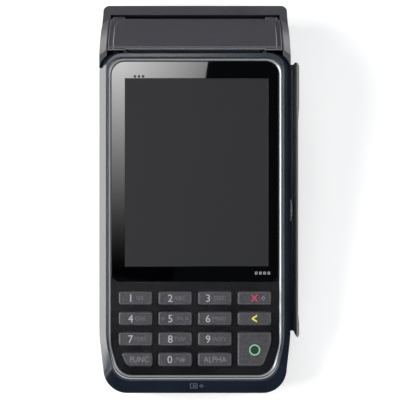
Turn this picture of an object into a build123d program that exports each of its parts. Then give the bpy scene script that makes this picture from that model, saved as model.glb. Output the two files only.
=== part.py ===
from build123d import *
from math import acos, cos, degrees, pi, radians, sin, sqrt, tan
import os

# Hand-held card payment terminal with keypad, touch display, stripe and chip readers and a
# built-in receipt printer.  Millimetres, +Z up.  The terminal stands on its feet at Z = 0 with
# the keypad towards -Y, and the origin is under the middle of its overall box.  Points on the
# sloping face are given as (x, v, w): x across from the centreline, v up the face from the
# keypad end, and w out of the face.  Points of the side view are (u, z): u back from the
# keypad end.
os.makedirs("parts", exist_ok=True)

# ---------------------------------------------------------------- overall sizes
body_w = 80.0            # housing, side to side
face_len = 142.7         # sloping face, keypad end to paper slot
back_len = 30.7          # paper slot to the rear wall
tilt = 13.0              # slope of the face, degrees
nose_h = 24.0            # height of the face at the keypad end
foot_h = 0.6             # rubber feet, below the base
wall = 2.3               # moulded walls of both housings
seam = 0.15              # gap at joints between fixed mouldings
base_r = 9.0             # rounding of the base's long edges
rear_r = 3.2             # rounding of the rear wall's upright edges
ear_fall = 1.5           # the shoulders beside the lid fall this much
ear_slope = 2.8          # over this width at their outer edge
hair = 0.002             # keeps two cutting faces from lying in one plane

# ---------------------------------------------------------------- front housing
part_drop = 12.0         # parting line, below the face
bevel_drop = 4.0         # height of the bevel round the face
bevel_side = 2.9         # its width at the sides
bevel_front = 5.6        # its width below the keypad
bevel_rear = 0.8         # its width at the paper slot
shoulder_r = 0.8         # rounding at the foot of the bevel
nose_x = 2.7             # each side draws in by this towards the keypad end
nose_v = 24.0            # starting this far up the face
nose_r = 10.0            # corner radius at the keypad end
rear_corner_r = 8.3      # corner radius beside the paper slot
ledge_w = 1.6            # ledge that carries lens and keypad panel
ledge_t = 1.2            # its thickness

# ---------------------------------------------------------------- ring, lens, keypad
ring_inset = (3.35, 5.95, 2.5)     # ring's outer edge from the housing's: side, front, rear
ring_side_w = 1.45       # ring's width at the sides
ring_front_w = 1.85      # at the keypad end
ring_rear_w = 1.3        # at the paper slot
ring_h = 2.2             # ring's height, down to the ledge
ring_slope = 0.7         # inner slope of the ring
trim_gap = 0.2           # gap inside the ring
lens_gap = 4.0           # top row of keys to the lower edge of the lens
lens_drop = 0.5          # lens surface below the ring
lens_corner = (2.5, 2.1) # cut lower corners of the lens
window_w = 59.6          # touch panel, across
window_x = 0.65          # its centre, off the middle
window_top_v = 131.5     # its upper end, up the face
window_foot = 6.4        # its lower end, above the lens's own
panel_drop = 0.8         # keypad panel below the ring
panel_t = 1.4            # keypad panel's thickness

key_w = 13.9
key_l = 5.6
key_pitch_x = 16.5
key_pitch_v = 8.5
key_row_v = 14.5         # centre of the row nearest the edge
key_r = 0.9              # corner radius of a key
key_nose_r = 2.6         # cut outer corners of the bottom row
key_nose_cut = 3.3       # how far they are cut back at the bottom
key_proud = 0.3          # key tops above the ring
key_gap = 0.25           # round each key in its window
key_flange = 0.6         # flange under the panel, beyond the key
key_flange_t = 0.7
key_travel = 0.8
key_edge = 0.45          # chamfer round a key top
pip_r = 0.45             # raised dots of the middle key
key_row_count = 4
lens_v = key_row_v + (key_row_count - 1) * key_pitch_v + key_l / 2 + lens_gap
window_l = window_top_v - window_foot - lens_v
window_v = window_top_v - window_l / 2

# ---------------------------------------------------------------- electronics
lcd_t = 3.4
lcd_rim = 0.8            # metal frame round the panel
board_drop = 7.2         # top of the main board, below the face
board_t = 1.2
board_end_v = 119.0
post_r = 1.5             # rubber posts under the keys

# ---------------------------------------------------------------- screws
house_screw_in = 5.0      # in from the housing's sides
house_screw_v = (lens_v + 0.7, 114.0)
house_boss_r = 2.8
house_screw_r = 1.1
house_head_r = 2.0
house_head_t = 1.5
house_seat = 20.0        # screw head's seat, below the face
board_screw_in = 4.8
board_screw_v = (62.0, 100.0)
board_boss_r = 1.9
board_screw_r = 0.9
screw_play = 0.1         # round every screw

# ---------------------------------------------------------------- stripe reader
slot_w = 1.7             # card slot beside the housing
rail_w = 1.9             # rail outside the slot
rail_waist = 0.4         # rail is thinner along its middle
rail_bevel = 0.8         # slope along its outer top edge
rail_v = (23.4, 138.3)   # its two ends
rail_top = 3.0           # top of the rail, below the face
slot_floor = 14.0        # bottom of the slot, below the face
rail_floor_t = 2.0
head_v = 76.7            # reading head, up the face
head_l = 10.5            # its length at the housing's side
head_proud = 0.9         # how far it stands into the slot
head_span = (5.4, 11.4)  # its top and bottom, below the face
head_gap = 0.3

# ---------------------------------------------------------------- chip card reader
card_w = 54.0            # a standard card
card_gap = 0.5           # play at each side of the card
card_slot_h = 1.3
reader_w = 59.0
reader_front = 0.7       # behind the front wall
reader_l = 47.0
reader_top = 11.0        # below the face
reader_h = 5.4

# ---------------------------------------------------------------- battery
bay_u = (56.0, 102.0)    # battery bay in the base
bay_w = 62.0
bay_h = 22.4             # bay's ceiling above the base plane
bay_wall = 1.2
pack_gap = 0.6           # round the battery pack
cover_t = 2.1
cover_gap = 0.2

# ---------------------------------------------------------------- printer and lid
# Places here are measured from the top of the paper slot, back (+u) and up (+z).
roll_d = 30.0
roll_w = 57.0            # standard receipt paper
core_r = 6.0
core_t = 1.0
roll_back = 6.5          # roll's centre, behind the paper slot
bucket_gap = 1.2         # round the roll
bucket_t = 1.0
roll_end_gap = 0.5       # each side of the roll
frame_gap = 0.3          # printer frame beside the paper bucket
frame_t = 1.2
platen_at = (2.3, -9.9)  # platen roller's centre
platen_r = 4.0
platen_w = 55.0
shaft_r = 1.5
shaft_play = 0.05        # running fit of every shaft
bush_t = 0.9
gear_module = 0.5
gear_w = 2.2
gear_side = 0.6          # gears outside the printer frame
platen_teeth = 16
idler_teeth = 30
pinion_teeth = 12
mesh_gap = 0.1           # added to each centre distance
mesh_dir = 45.0          # idler to platen, degrees up from +u
motor_r = 7.5
motor_l = 16.0
head_gap_paper = 0.25    # print head to platen
lid_gap = 0.4            # beside the lid
lid_r = 49.0             # curve of the lid
lid_back = (-42.0, -18.75)   # centre of that curve, from the hinge
lid_t = 1.5              # lid's shell
lid_lift = 0.8           # raised middle panel of the lid
lid_rim = 2.2            # rim round that panel
lid_corner_r = 6.0
slot_gap = 0.7           # paper slot
ear_w = 3.2              # housing's ears beside the lid
hinge_at = (20.8, -25.9) # lid hinge
pin_r = 1.25
knuckle_r = 3.0
knuckle_x = (30.6, 35.4)

# ---------------------------------------------------------------- charging port
port_u = 108.0
port_z = 15.0
port_w = 9.0
port_h = 3.2
port_deep = 7.2
flap_l = 15.0
flap_h = 8.0
flap_t = 1.2
flap_gap = 0.2

# ---------------------------------------------------------------- frames
a = radians(tilt)


def on_side(v, w):
    """Side-view point (u, z) at v up the face and w out of it."""
    return (v * cos(a) - w * sin(a), nose_h + v * sin(a) + w * cos(a))


end_u, end_z = on_side(face_len, 0)              # top of the paper slot
body_len = end_u + back_len
nose_reach = bevel_drop * sin(a)                 # the bevel's foot sets the front end
mid_x = -(slot_w + rail_w) / 2                   # rail on the right, box centred
start_y = -(nose_reach + body_len) / 2
face = Plane(origin=(mid_x, start_y, nose_h), x_dir=(1, 0, 0), z_dir=(0, -sin(a), cos(a)))
side = Plane(origin=(mid_x, start_y, 0), x_dir=(0, 1, 0), z_dir=(1, 0, 0))
base = Plane(origin=(mid_x, start_y, 0))
outward = Axis(face.origin, face.z_dir)
half = body_w / 2
floor_z = foot_h + wall                          # inside of the base

platen_u, platen_z = end_u + platen_at[0], end_z + platen_at[1]
hinge_u, hinge_z = end_u + hinge_at[0], end_z + hinge_at[1]
arc_u, arc_z = hinge_u + lid_back[0], hinge_z + lid_back[1]
arc_v = arc_u * cos(a) + (arc_z - nose_h) * sin(a)
lip_front = (hinge_u + 4.5, hinge_z - 0.6)       # rear lip, behind the lid
lip_z = hinge_z - 3.8                            # its height at the rear wall
roll_u = end_u + roll_back
roll_z = floor_z + 0.2 + bucket_t + bucket_gap + roll_d / 2


def lid_point(degrees_up, depth=0.0):
    """Side-view point on the lid's curve, depth below its surface."""
    reach = lid_r - depth
    return (arc_u + reach * cos(radians(degrees_up)), arc_z + reach * sin(radians(degrees_up)))


def lid_degrees(v, depth=0.0):
    """Place on the lid's curve, in degrees, that is v up the face."""
    return tilt + degrees(acos((v - arc_v) / (lid_r - depth)))



# ---------------------------------------------------------------- shared outlines
def face_outline(at_side=0.0, front=0.0, rear=0.0):
    """Plan of the face, drawn in from the housing's edge by three insets."""
    inset = max(at_side, 0)
    x = half - at_side
    right = [(x - nose_x - 0.2 * inset, front), (x, front + nose_v - 2.4 * inset),
             (x, face_len - rear)]
    left = [(-px, pv) for px, pv in reversed(right)]
    radii = [nose_r - 0.6 * inset, 60 - 9 * inset, rear_corner_r - 0.5 * inset]
    with BuildSketch() as outline:
        with BuildLine():
            FilletPolyline(*right, *left, radius=radii + radii[::-1], close=True)
        make_face()
    return outline.sketch


def body_profile():
    """Side view of the rear housing, ears and rear lip included."""
    ear_v = face_len - rear_corner_r - 0.4
    ear_drop = lid_lift + 0.1
    ear_foot = lid_degrees(face_len + slot_gap, ear_drop)
    ear_end = 26.0
    with BuildSketch() as profile:
        with BuildLine():
            arc = ThreePointArc(lid_point(ear_foot, ear_drop),
                                lid_point((ear_foot + ear_end) / 2, ear_drop),
                                lid_point(ear_end, ear_drop))
            FilletPolyline(arc @ 1, lip_front, (body_len, lip_z), (body_len, foot_h),
                           (11.0, foot_h), on_side(-2.5, -14.5), on_side(-6.0, -part_drop),
                           on_side(ear_v, -part_drop), on_side(ear_v, -2.9), arc @ 0,
                           radius=(0, 1.2, 6.0, 12.0, 0, 0, 0, 0))
        make_face()
    return profile.sketch


def body_block(inset):
    """Rear housing as a solid block, drawn in by inset all round."""
    with BuildPart() as block:
        with BuildSketch(face.offset(6)):
            add(face_outline(inset, inset, -body_len))
        extrude(amount=-90)
        with BuildSketch(side):
            add(body_profile())
            if inset:
                offset(amount=-inset, kind=Kind.INTERSECTION)
        extrude(amount=body_w, both=True, mode=Mode.INTERSECT)
        with BuildSketch(Plane(origin=(mid_x, start_y - 20, 0), x_dir=(1, 0, 0),
                               z_dir=(0, -1, 0))):
            with Locations((0, foot_h + inset)):
                section = Rectangle(body_w - 2 * inset + hair, 90,
                                    align=(Align.CENTER, Align.MIN))
            fillet(section.vertices().group_by(Axis.Y)[0], base_r - inset)
        extrude(amount=-body_len - 60, mode=Mode.INTERSECT)
        with BuildSketch(base):
            with Locations((0, body_len - inset + hair)):
                plan = Rectangle(body_w - 2 * inset + hair, body_len + 40,
                                 align=(Align.CENTER, Align.MAX))
            fillet(plan.vertices().group_by(Axis.Y)[-1], max(rear_r - inset, 0.5))
        extrude(amount=90, mode=Mode.INTERSECT)
    return block.part


def gear_sketch(teeth, turn=0.0):
    """Involute spur gear in the side view, one tooth turned to turn degrees."""
    pitch_r = gear_module * teeth / 2
    base_r = pitch_r * cos(radians(20))
    tip_r = pitch_r + gear_module
    root_r = pitch_r - 1.25 * gear_module
    slack = 0.06 / pitch_r                       # radians each tooth is thinned by

    def half_angle(r):
        """Half the tooth's angle at radius r."""
        press = acos(min(1, base_r / r))
        inv20 = tan(radians(20)) - radians(20)
        return pi / (2 * teeth) - slack / 2 + inv20 - (tan(press) - press)

    radii = [max(base_r, root_r) + (tip_r - max(base_r, root_r)) * k / 4 for k in range(5)]
    right = [(r * cos(half_angle(r)), -r * sin(half_angle(r))) for r in radii]
    left = [(x, -y) for x, y in reversed(right)]
    inner = root_r * 0.9
    foot = half_angle(radii[0])
    toe = (inner * cos(foot), inner * sin(foot))
    with BuildSketch() as tooth:
        with BuildLine():
            Polyline((toe[0], -toe[1]), *right, *left, toe, close=True)
        make_face()
    with BuildSketch() as gear:
        Circle(root_r)
        with PolarLocations(0, teeth, start_angle=turn):
            add(tooth.sketch)
    return gear.sketch


# ---------------------------------------------------------------- keys
key_columns = [(column - 1.5) * key_pitch_x for column in range(4)]
key_rows = [key_row_v + row * key_pitch_v for row in range(key_row_count)]  # nearest first
key_names = {
    "key_1": (0, 3), "key_2": (1, 3), "key_3": (2, 3), "key_cancel": (3, 3),
    "key_4": (0, 2), "key_5": (1, 2), "key_6": (2, 2), "key_clear": (3, 2),
    "key_7": (0, 1), "key_8": (1, 1), "key_9": (2, 1), "key_enter": (3, 1),
    "key_func": (0, 0), "key_0": (1, 0), "key_alpha": (2, 0),
}


def key_centre(name):
    """Centre of a key in face coordinates; the enter key covers two rows."""
    column, row = key_names[name]
    v = key_rows[row] - (key_pitch_v / 2 if name == "key_enter" else 0)
    return (key_columns[column], v)


def key_outline(name, grow=0.0):
    """Plan of one key about its own centre, grown all round."""
    tall = key_l + (key_pitch_v if name == "key_enter" else 0)
    x, y = key_w / 2 + grow, tall / 2 + grow
    corners = [(-x, -y), (x, -y), (x, y), (-x, y)]
    radii = [key_r + grow] * 4
    if name == "key_func":
        corners[0] = (key_nose_cut - x, -y)
        corners[3] = (0.9 - x, y)
        radii[0] = key_nose_r + grow
    if name == "key_enter":
        corners[1:2] = [(x - key_nose_cut, -y), (x, 0.35 * y)]
        radii[1:2] = [key_nose_r + grow, 12.0]
    with BuildSketch() as outline:
        with BuildLine():
            FilletPolyline(*corners, radius=radii, close=True)
        make_face()
    return outline.sketch


def keys_sketch(grow):
    """Plan of all the keys together."""
    with BuildSketch() as plan:
        for name in key_names:
            with Locations(key_centre(name)):
                add(key_outline(name, grow))
    return plan.sketch


panel_top_v = lens_v - trim_gap                   # keypad panel meets the lens here
membrane_v = (ring_inset[1] + ring_front_w + ledge_w + 0.4, key_rows[3] + key_l / 2 + 1.45)
ring_inner = tuple(inset + width for inset, width in
                   zip(ring_inset, (ring_side_w, ring_front_w, ring_rear_w)))
ledge_edge = tuple(inset + ledge_w for inset in ring_inner)
house_screws = [(sx * (half - house_screw_in), v) for sx in (-1, 1) for v in house_screw_v]
board_screws = [(sx * (half - board_screw_in), v) for sx in (-1, 1) for v in board_screw_v]
ledge_foot = ring_h + ledge_t                      # underside of the ledge, below the face

for label in key_names:
    flange_top = panel_drop + panel_t + 0.15
    with BuildPart() as key:
        with BuildSketch(face.offset(key_proud)):
            with Locations(key_centre(label)):
                add(key_outline(label))
        extrude(amount=-key_proud - flange_top)
        chamfer(key.faces().sort_by(outward)[-1].edges(), key_edge)
        with BuildSketch(face.offset(-flange_top)):
            with Locations(key_centre(label)):
                add(key_outline(label, key_flange))
        extrude(amount=-key_flange_t)
        if label == "key_5":
            with BuildSketch(face.offset(key_proud - 0.1)):
                with Locations(*[(key_centre(label)[0] + sx * 4.9, key_centre(label)[1])
                                 for sx in (-1, 1)]):
                    Circle(pip_r)
            extrude(amount=0.35)
    key.part.label = label
    export_step(key.part, f"parts/{label}.step")

# ---------------------------------------------------------------- front housing
with BuildPart() as front_housing:
    with BuildSketch(face.offset(-bevel_drop)):
        add(face_outline())
    with BuildSketch(face):
        add(face_outline(bevel_side, bevel_front, bevel_rear))
    loft(ruled=True)
    with BuildSketch(face.offset(-bevel_drop)):
        add(face_outline())
    extrude(amount=bevel_drop - part_drop)
    shoulder = front_housing.edges().filter_by(
        lambda edge: abs(face.to_local_coords(edge.center()).Z + bevel_drop) < 0.01)
    fillet(shoulder, shoulder_r)
    # hollow, pocket for the trim ring, and the ledge inside it
    with BuildSketch(face.offset(-part_drop)):
        add(face_outline(wall, wall, wall))
    extrude(amount=part_drop - ledge_foot, mode=Mode.SUBTRACT)
    with BuildSketch(face):
        add(face_outline(*[inset - seam for inset in ring_inset]))
    extrude(amount=-ring_h, mode=Mode.SUBTRACT)
    with BuildSketch(face):
        add(face_outline(*ledge_edge))
    extrude(amount=-part_drop, mode=Mode.SUBTRACT)
    # rib between keypad and lens
    with BuildSketch(face.offset(-ring_h)):
        with Locations((0, lens_v)):
            Rectangle(2 * (half - ledge_edge[0]) + 1, 3.0)
    extrude(amount=-ledge_t)
    # screw bosses
    with BuildSketch(face.offset(-part_drop)):
        with Locations(*house_screws):
            Circle(house_boss_r)
    extrude(amount=part_drop - ledge_foot)
    with BuildSketch(face.offset(-board_drop)):
        with Locations(*board_screws):
            Circle(board_boss_r)
    extrude(amount=board_drop - ledge_foot)
    with BuildSketch(face.offset(-part_drop)):
        with Locations(*house_screws):
            Circle(house_screw_r)
        with Locations(*board_screws):
            Circle(board_screw_r)
    extrude(amount=part_drop - ledge_foot, mode=Mode.SUBTRACT)
    # way through the rear wall for the printer
    with BuildSketch(face.offset(-part_drop)):
        with Locations((0, face_len)):
            Rectangle(2 * (half - ear_w), 4 * wall)
    extrude(amount=part_drop - ledge_foot, mode=Mode.SUBTRACT)
    # window for the stripe reader's head
    with BuildSketch(face.offset(-head_span[0] + head_gap)):
        with Locations((half, head_v)):
            Rectangle(4 * wall, head_l + 2 * head_gap)
    extrude(amount=-(head_span[1] - head_span[0] + 2 * head_gap), mode=Mode.SUBTRACT)
front_housing.part.label = "front_housing"
export_step(front_housing.part, "parts/front_housing.step")

with BuildPart() as trim_ring:
    with BuildSketch(face):
        add(face_outline(*ring_inset))
    extrude(amount=-ring_h)
    with BuildSketch(face):
        add(face_outline(*[inset - ring_slope for inset in ring_inner]))
    with BuildSketch(face.offset(-ring_slope)):
        add(face_outline(*ring_inner))
    loft(ruled=True, mode=Mode.SUBTRACT)
    with BuildSketch(face.offset(-ring_slope)):
        add(face_outline(*ring_inner))
    extrude(amount=-ring_h, mode=Mode.SUBTRACT)
trim_ring.part.label = "trim_ring"
export_step(trim_ring.part, "parts/trim_ring.step")

# ---------------------------------------------------------------- display
lens_half = half - ring_inner[0] - trim_gap
lens_top_v = face_len - ring_inner[2] - trim_gap


def lens_sketch():
    """Plan of the lens: round corners by the paper slot, cut corners by the keypad."""
    cut_x, cut_v = lens_corner
    right = [(lens_half - cut_x, lens_v), (lens_half, lens_v + cut_v), (lens_half, lens_top_v)]
    left = [(-px, pv) for px, pv in reversed(right)]
    with BuildSketch() as plan:
        with BuildLine():
            FilletPolyline(*right, *left, radius=(0.8, 0.8, 5.7, 5.7, 0.8, 0.8), close=True)
        make_face()
    return plan.sketch


with BuildPart() as display_lens:
    with BuildSketch(face.offset(-lens_drop)):
        add(lens_sketch())
        with Locations((window_x, window_v)):
            Rectangle(window_w, window_l, mode=Mode.SUBTRACT)
    extrude(amount=lens_drop - ring_h)
    chamfer(display_lens.faces().sort_by(outward)[-1].outer_wire().edges(), 0.25)
display_lens.part.label = "display_lens"
export_step(display_lens.part, "parts/display_lens.step")

with BuildPart() as touch_panel:
    with BuildSketch(face.offset(-lens_drop - 0.1)):
        with Locations((window_x, window_v)):
            Rectangle(window_w - 0.1, window_l - 0.1)
    extrude(amount=-1.0)
touch_panel.part.label = "touch_panel"
export_step(touch_panel.part, "parts/touch_panel.step")

lcd_top = ring_h + 0.2
with BuildPart() as lcd_panel:
    with BuildSketch(face.offset(-lcd_top)):
        with Locations((window_x, window_v)):
            Rectangle(window_w + 1.2, window_l + 3.0)
    extrude(amount=lcd_rim - lcd_t)
lcd_panel.part.label = "lcd_panel"
export_step(lcd_panel.part, "parts/lcd_panel.step")

with BuildPart() as lcd_frame:
    with BuildSketch(face.offset(-lcd_top)):
        with Locations((window_x, window_v)):
            Rectangle(window_w + 1.4 + 2 * lcd_rim, window_l + 3.2 + 2 * lcd_rim)
    extrude(amount=-lcd_t)
    with BuildSketch(face.offset(-lcd_top)):
        with Locations((window_x, window_v)):
            Rectangle(window_w + 1.4, window_l + 3.2)
    extrude(amount=lcd_rim - lcd_t, mode=Mode.SUBTRACT)
lcd_frame.part.label = "lcd_frame"
export_step(lcd_frame.part, "parts/lcd_frame.step")

with BuildPart() as contactless_antenna:
    with BuildSketch(face.offset(-lcd_top - lcd_t - 0.2)):
        with Locations((0, window_v)):
            RectangleRounded(54, 70, 4)
            RectangleRounded(46, 62, 2, mode=Mode.SUBTRACT)
    extrude(amount=-0.6)
contactless_antenna.part.label = "contactless_antenna"
export_step(contactless_antenna.part, "parts/contactless_antenna.step")

# ---------------------------------------------------------------- keypad
with BuildPart() as keypad_panel:
    with BuildSketch(face.offset(-panel_drop)):
        add(face_outline(ring_inner[0] + trim_gap, ring_inner[1] + trim_gap, 0))
        with Locations((0, panel_top_v)):
            Rectangle(body_w, face_len, align=(Align.CENTER, Align.MIN), mode=Mode.SUBTRACT)
        add(keys_sketch(key_gap), mode=Mode.SUBTRACT)
    extrude(amount=-panel_t)
keypad_panel.part.label = "keypad_panel"
export_step(keypad_panel.part, "parts/keypad_panel.step")

post_top = panel_drop + panel_t + 0.15 + key_flange_t + key_travel + 0.1
post_foot = post_top + 0.4
with BuildPart() as keypad_membrane:
    with BuildSketch(face.offset(-post_foot)):
        with Locations((0, sum(membrane_v) / 2)):
            RectangleRounded(2 * (half - ledge_edge[0]) - 0.6, membrane_v[1] - membrane_v[0], 5)
    extrude(amount=-0.8)
    with BuildSketch(face.offset(-post_foot)):
        with Locations(*[key_centre(name) for name in key_names]):
            Circle(post_r)
    extrude(amount=post_foot - post_top)
keypad_membrane.part.label = "keypad_membrane"
export_step(keypad_membrane.part, "parts/keypad_membrane.step")

# ---------------------------------------------------------------- electronics
with BuildPart() as main_board:
    with BuildSketch(face.offset(-board_drop)):
        add(face_outline(wall + 0.5, wall + 4.0, face_len - board_end_v))
        with Locations(*house_screws):
            Circle(house_boss_r + 0.3, mode=Mode.SUBTRACT)
        with Locations(*board_screws):
            Circle(board_screw_r + screw_play, mode=Mode.SUBTRACT)
        with Locations((half, head_v)):
            Rectangle(10.0, head_l + 6, mode=Mode.SUBTRACT)
    extrude(amount=-board_t)
main_board.part.label = "main_board"
export_step(main_board.part, "parts/main_board.step")

under_board = board_drop + board_t
chips = [(-16, 64, 14, 14, 1.4), (4, 62, 10, 8, 1.0), (24, 62, 8, 12, 1.2), (-21, 84, 9, 9, 1.0)]
with BuildPart() as board_chips:
    for x, v, across, along, tall in chips:
        with BuildSketch(face.offset(-under_board)):
            with Locations((x, v)):
                Rectangle(across, along)
        extrude(amount=-tall)
board_chips.part.label = "board_chips"
export_step(board_chips.part, "parts/board_chips.step")

with BuildPart() as security_shield:
    with BuildSketch(face.offset(-under_board)):
        with Locations((6, 85)):
            RectangleRounded(34, 26, 1.5)
    extrude(amount=-2.2)
    with BuildSketch(face.offset(-under_board)):
        with Locations((6, 85)):
            RectangleRounded(33.2, 25.2, 1.2)
    extrude(amount=-1.9, mode=Mode.SUBTRACT)
security_shield.part.label = "security_shield"
export_step(security_shield.part, "parts/security_shield.step")

with BuildPart() as card_holders:
    with BuildSketch(face.offset(-under_board)):
        with Locations((-13, 110), (13, 110)):
            Rectangle(17, 14)
    extrude(amount=-1.6)
card_holders.part.label = "card_holders"
export_step(card_holders.part, "parts/card_holders.step")

with BuildPart() as coin_cell:
    with BuildSketch(face.offset(-under_board)):
        with Locations((0, 26)):
            Circle(8)
    extrude(amount=-2.0)
    chamfer(coin_cell.edges().filter_by(GeomType.CIRCLE), 0.25)
coin_cell.part.label = "coin_cell"
export_step(coin_cell.part, "parts/coin_cell.step")

reader_start_v = wall + reader_front
slot_top = part_drop + 0.1
with BuildPart() as chip_reader:
    with BuildSketch(face.offset(-reader_top)):
        with Locations((0, reader_start_v)):
            Rectangle(reader_w, reader_l, align=(Align.CENTER, Align.MIN))
    extrude(amount=-reader_h)
    with BuildSketch(face.offset(-slot_top)):
        with Locations((0, reader_start_v - 1)):
            Rectangle(card_w + 2 * card_gap, reader_l - 3, align=(Align.CENTER, Align.MIN))
    extrude(amount=-card_slot_h, mode=Mode.SUBTRACT)
chip_reader.part.label = "chip_reader"
export_step(chip_reader.part, "parts/chip_reader.step")

with BuildPart() as chip_contacts:
    with BuildSketch(face.offset(-slot_top - card_slot_h)):
        with Locations((0, 36)):
            with GridLocations(2.54, 7.6, 4, 2):
                Rectangle(1.0, 4.0)
    extrude(amount=0.3)
chip_contacts.part.label = "chip_contacts"
export_step(chip_contacts.part, "parts/chip_contacts.step")

# ---------------------------------------------------------------- rear housing
ear_x = half - ear_w
pin_reach = half - 1.1
bay_top = floor_z + bay_h - wall
bay_mid = sum(bay_u) / 2
bay_len = bay_u[1] - bay_u[0]
pogo_x = (-8.0, 0.0, 8.0)
pogo_u = bay_u[1] + bay_wall + 6.0
speaker_at = (18.0, pogo_u + 6.5)
speaker_r = 8.0
feet_at = [(sx * (half - 13.0), u) for sx in (-1, 1) for u in (19.0, body_len - 14.0)]
foot_r = 4.0
foot_sink = 0.5

with BuildPart() as boss_columns:
    with BuildSketch(face.offset(-part_drop)):
        with Locations(*house_screws):
            Circle(house_boss_r)
    extrude(amount=-80)
    add(body_block(wall / 2), mode=Mode.INTERSECT)

with BuildPart() as sloped_block:
    add(body_block(0))
    for end in (0, -1):
        flank = sloped_block.faces().filter_by(Axis.X).sort_by(Axis.X)[end]
        shoulder = flank.edges().filter_by(
            lambda edge: face.to_local_coords(edge.center()).Y > face_len
            and face.to_local_coords(edge.center()).Z > -28)
        chamfer(shoulder, length=ear_fall, length2=ear_slope, reference=flank)
outer_block = sloped_block.part
inner_block = body_block(wall)
with BuildPart() as rear_housing:
    add(outer_block)
    add(inner_block, mode=Mode.SUBTRACT)
    # open top under the front housing
    with BuildSketch(face.offset(-part_drop - 2 * wall)):
        add(face_outline(wall, wall, -wall))
    extrude(amount=3 * wall, mode=Mode.SUBTRACT)
    # ears stand round the front housing's rear corners
    with BuildSketch(face.offset(-part_drop)):
        add(face_outline(-seam, -seam, -seam))
    extrude(amount=2 * part_drop, mode=Mode.SUBTRACT)
    # printer bay, open between the ears from the paper slot to the rear lip
    with BuildSketch(side):
        with Locations((lip_front[0], hinge_z - 6.0)):
            Rectangle(30, 60, align=(Align.MAX, Align.MIN))
    extrude(amount=ear_x, both=True, mode=Mode.SUBTRACT)
    # screw columns, with the heads' recesses from below
    add(boss_columns.part)
    with BuildSketch(face.offset(-part_drop)):
        with Locations(*house_screws):
            Circle(house_screw_r + screw_play)
    extrude(amount=-80, mode=Mode.SUBTRACT)
    with BuildSketch(face.offset(-house_seat)):
        with Locations(*house_screws):
            Circle(house_head_r + screw_play)
    extrude(amount=-80, mode=Mode.SUBTRACT)
    # battery bay, open below
    with BuildSketch(base.offset(floor_z - 0.4)):
        with Locations((0, bay_mid)):
            Rectangle(bay_w + 2 * bay_wall, bay_len + 2 * bay_wall)
    extrude(amount=bay_top + bay_wall - floor_z + 0.4)
    with BuildSketch(base):
        with Locations((0, bay_mid)):
            Rectangle(bay_w, bay_len)
    extrude(amount=bay_top, mode=Mode.SUBTRACT)
    # recesses for the feet, contact holes and speaker grille in the base
    with BuildSketch(base):
        with Locations(*feet_at):
            Circle(foot_r + 0.05)
    extrude(amount=foot_h + foot_sink, mode=Mode.SUBTRACT)
    with BuildSketch(base):
        with Locations(*[(x, pogo_u) for x in pogo_x]):
            Circle(1.5)
        with Locations(speaker_at):
            with PolarLocations(4.0, 6):
                Circle(0.8)
            Circle(0.8)
    extrude(amount=floor_z + 1, mode=Mode.SUBTRACT)
    # card slot in the front wall
    with BuildSketch(face.offset(-slot_top)):
        with Locations((0, 0)):
            Rectangle(card_w + 2 * card_gap, 14)
    extrude(amount=-card_slot_h, mode=Mode.SUBTRACT)
    # hinge pin's holes in the ears
    with BuildSketch(side):
        with Locations((hinge_u, hinge_z)):
            Circle(pin_r + shaft_play)
    extrude(amount=pin_reach + 0.1, both=True, mode=Mode.SUBTRACT)
    # ledge under the charging socket, its opening and the flap's recess
    with BuildSketch(base.offset(port_z - port_h / 2 - 1.2)):
        with Locations((-half + wall - 0.2, port_u)):
            Rectangle(port_deep - wall + 1.6, port_w + 1, align=(Align.MIN, Align.CENTER))
    extrude(amount=1.2)
    with BuildSketch(side.offset(-half)):
        with Locations((port_u, port_z)):
            RectangleRounded(port_w + 0.3, port_h + 0.3, 1.2)
    extrude(amount=wall + 0.1, mode=Mode.SUBTRACT)
    with BuildSketch(side.offset(-half)):
        with Locations((port_u, port_z)):
            Rectangle(flap_l + 2 * flap_gap, flap_h + 2 * flap_gap)
    extrude(amount=flap_t + 0.1, mode=Mode.SUBTRACT)
rear_housing.part.label = "rear_housing"
export_step(rear_housing.part, "parts/rear_housing.step")

with BuildPart() as feet:
    with BuildSketch(base):
        with Locations(*feet_at):
            Circle(foot_r)
    extrude(amount=foot_h + foot_sink)
    chamfer(feet.faces().filter_by(Axis.Z).group_by(Axis.Z)[0].edges(), 0.2)
feet.part.label = "feet"
export_step(feet.part, "parts/feet.step")

# ---------------------------------------------------------------- battery
with BuildPart() as battery_pack:
    with BuildSketch(base.offset(foot_h + cover_t + 0.3)):
        with Locations((0, bay_mid)):
            RectangleRounded(bay_w - 2 * pack_gap, bay_len - 2 * pack_gap - 2.0, 3)
    extrude(amount=bay_top - foot_h - cover_t - 0.3 - pack_gap)
    chamfer(battery_pack.faces().sort_by(Axis.Z)[-1].edges(), 0.8)
battery_pack.part.label = "battery_pack"
export_step(battery_pack.part, "parts/battery_pack.step")

with BuildPart() as battery_contacts:
    with BuildSketch(Plane(origin=(mid_x, start_y + bay_u[0], foot_h + 10), x_dir=(1, 0, 0),
                           z_dir=(0, 1, 0))):
        with GridLocations(6, 1, 4, 1):
            Rectangle(2.4, 5.0)
    extrude(amount=1.2)
battery_contacts.part.label = "battery_contacts"
export_step(battery_contacts.part, "parts/battery_contacts.step")

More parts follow.
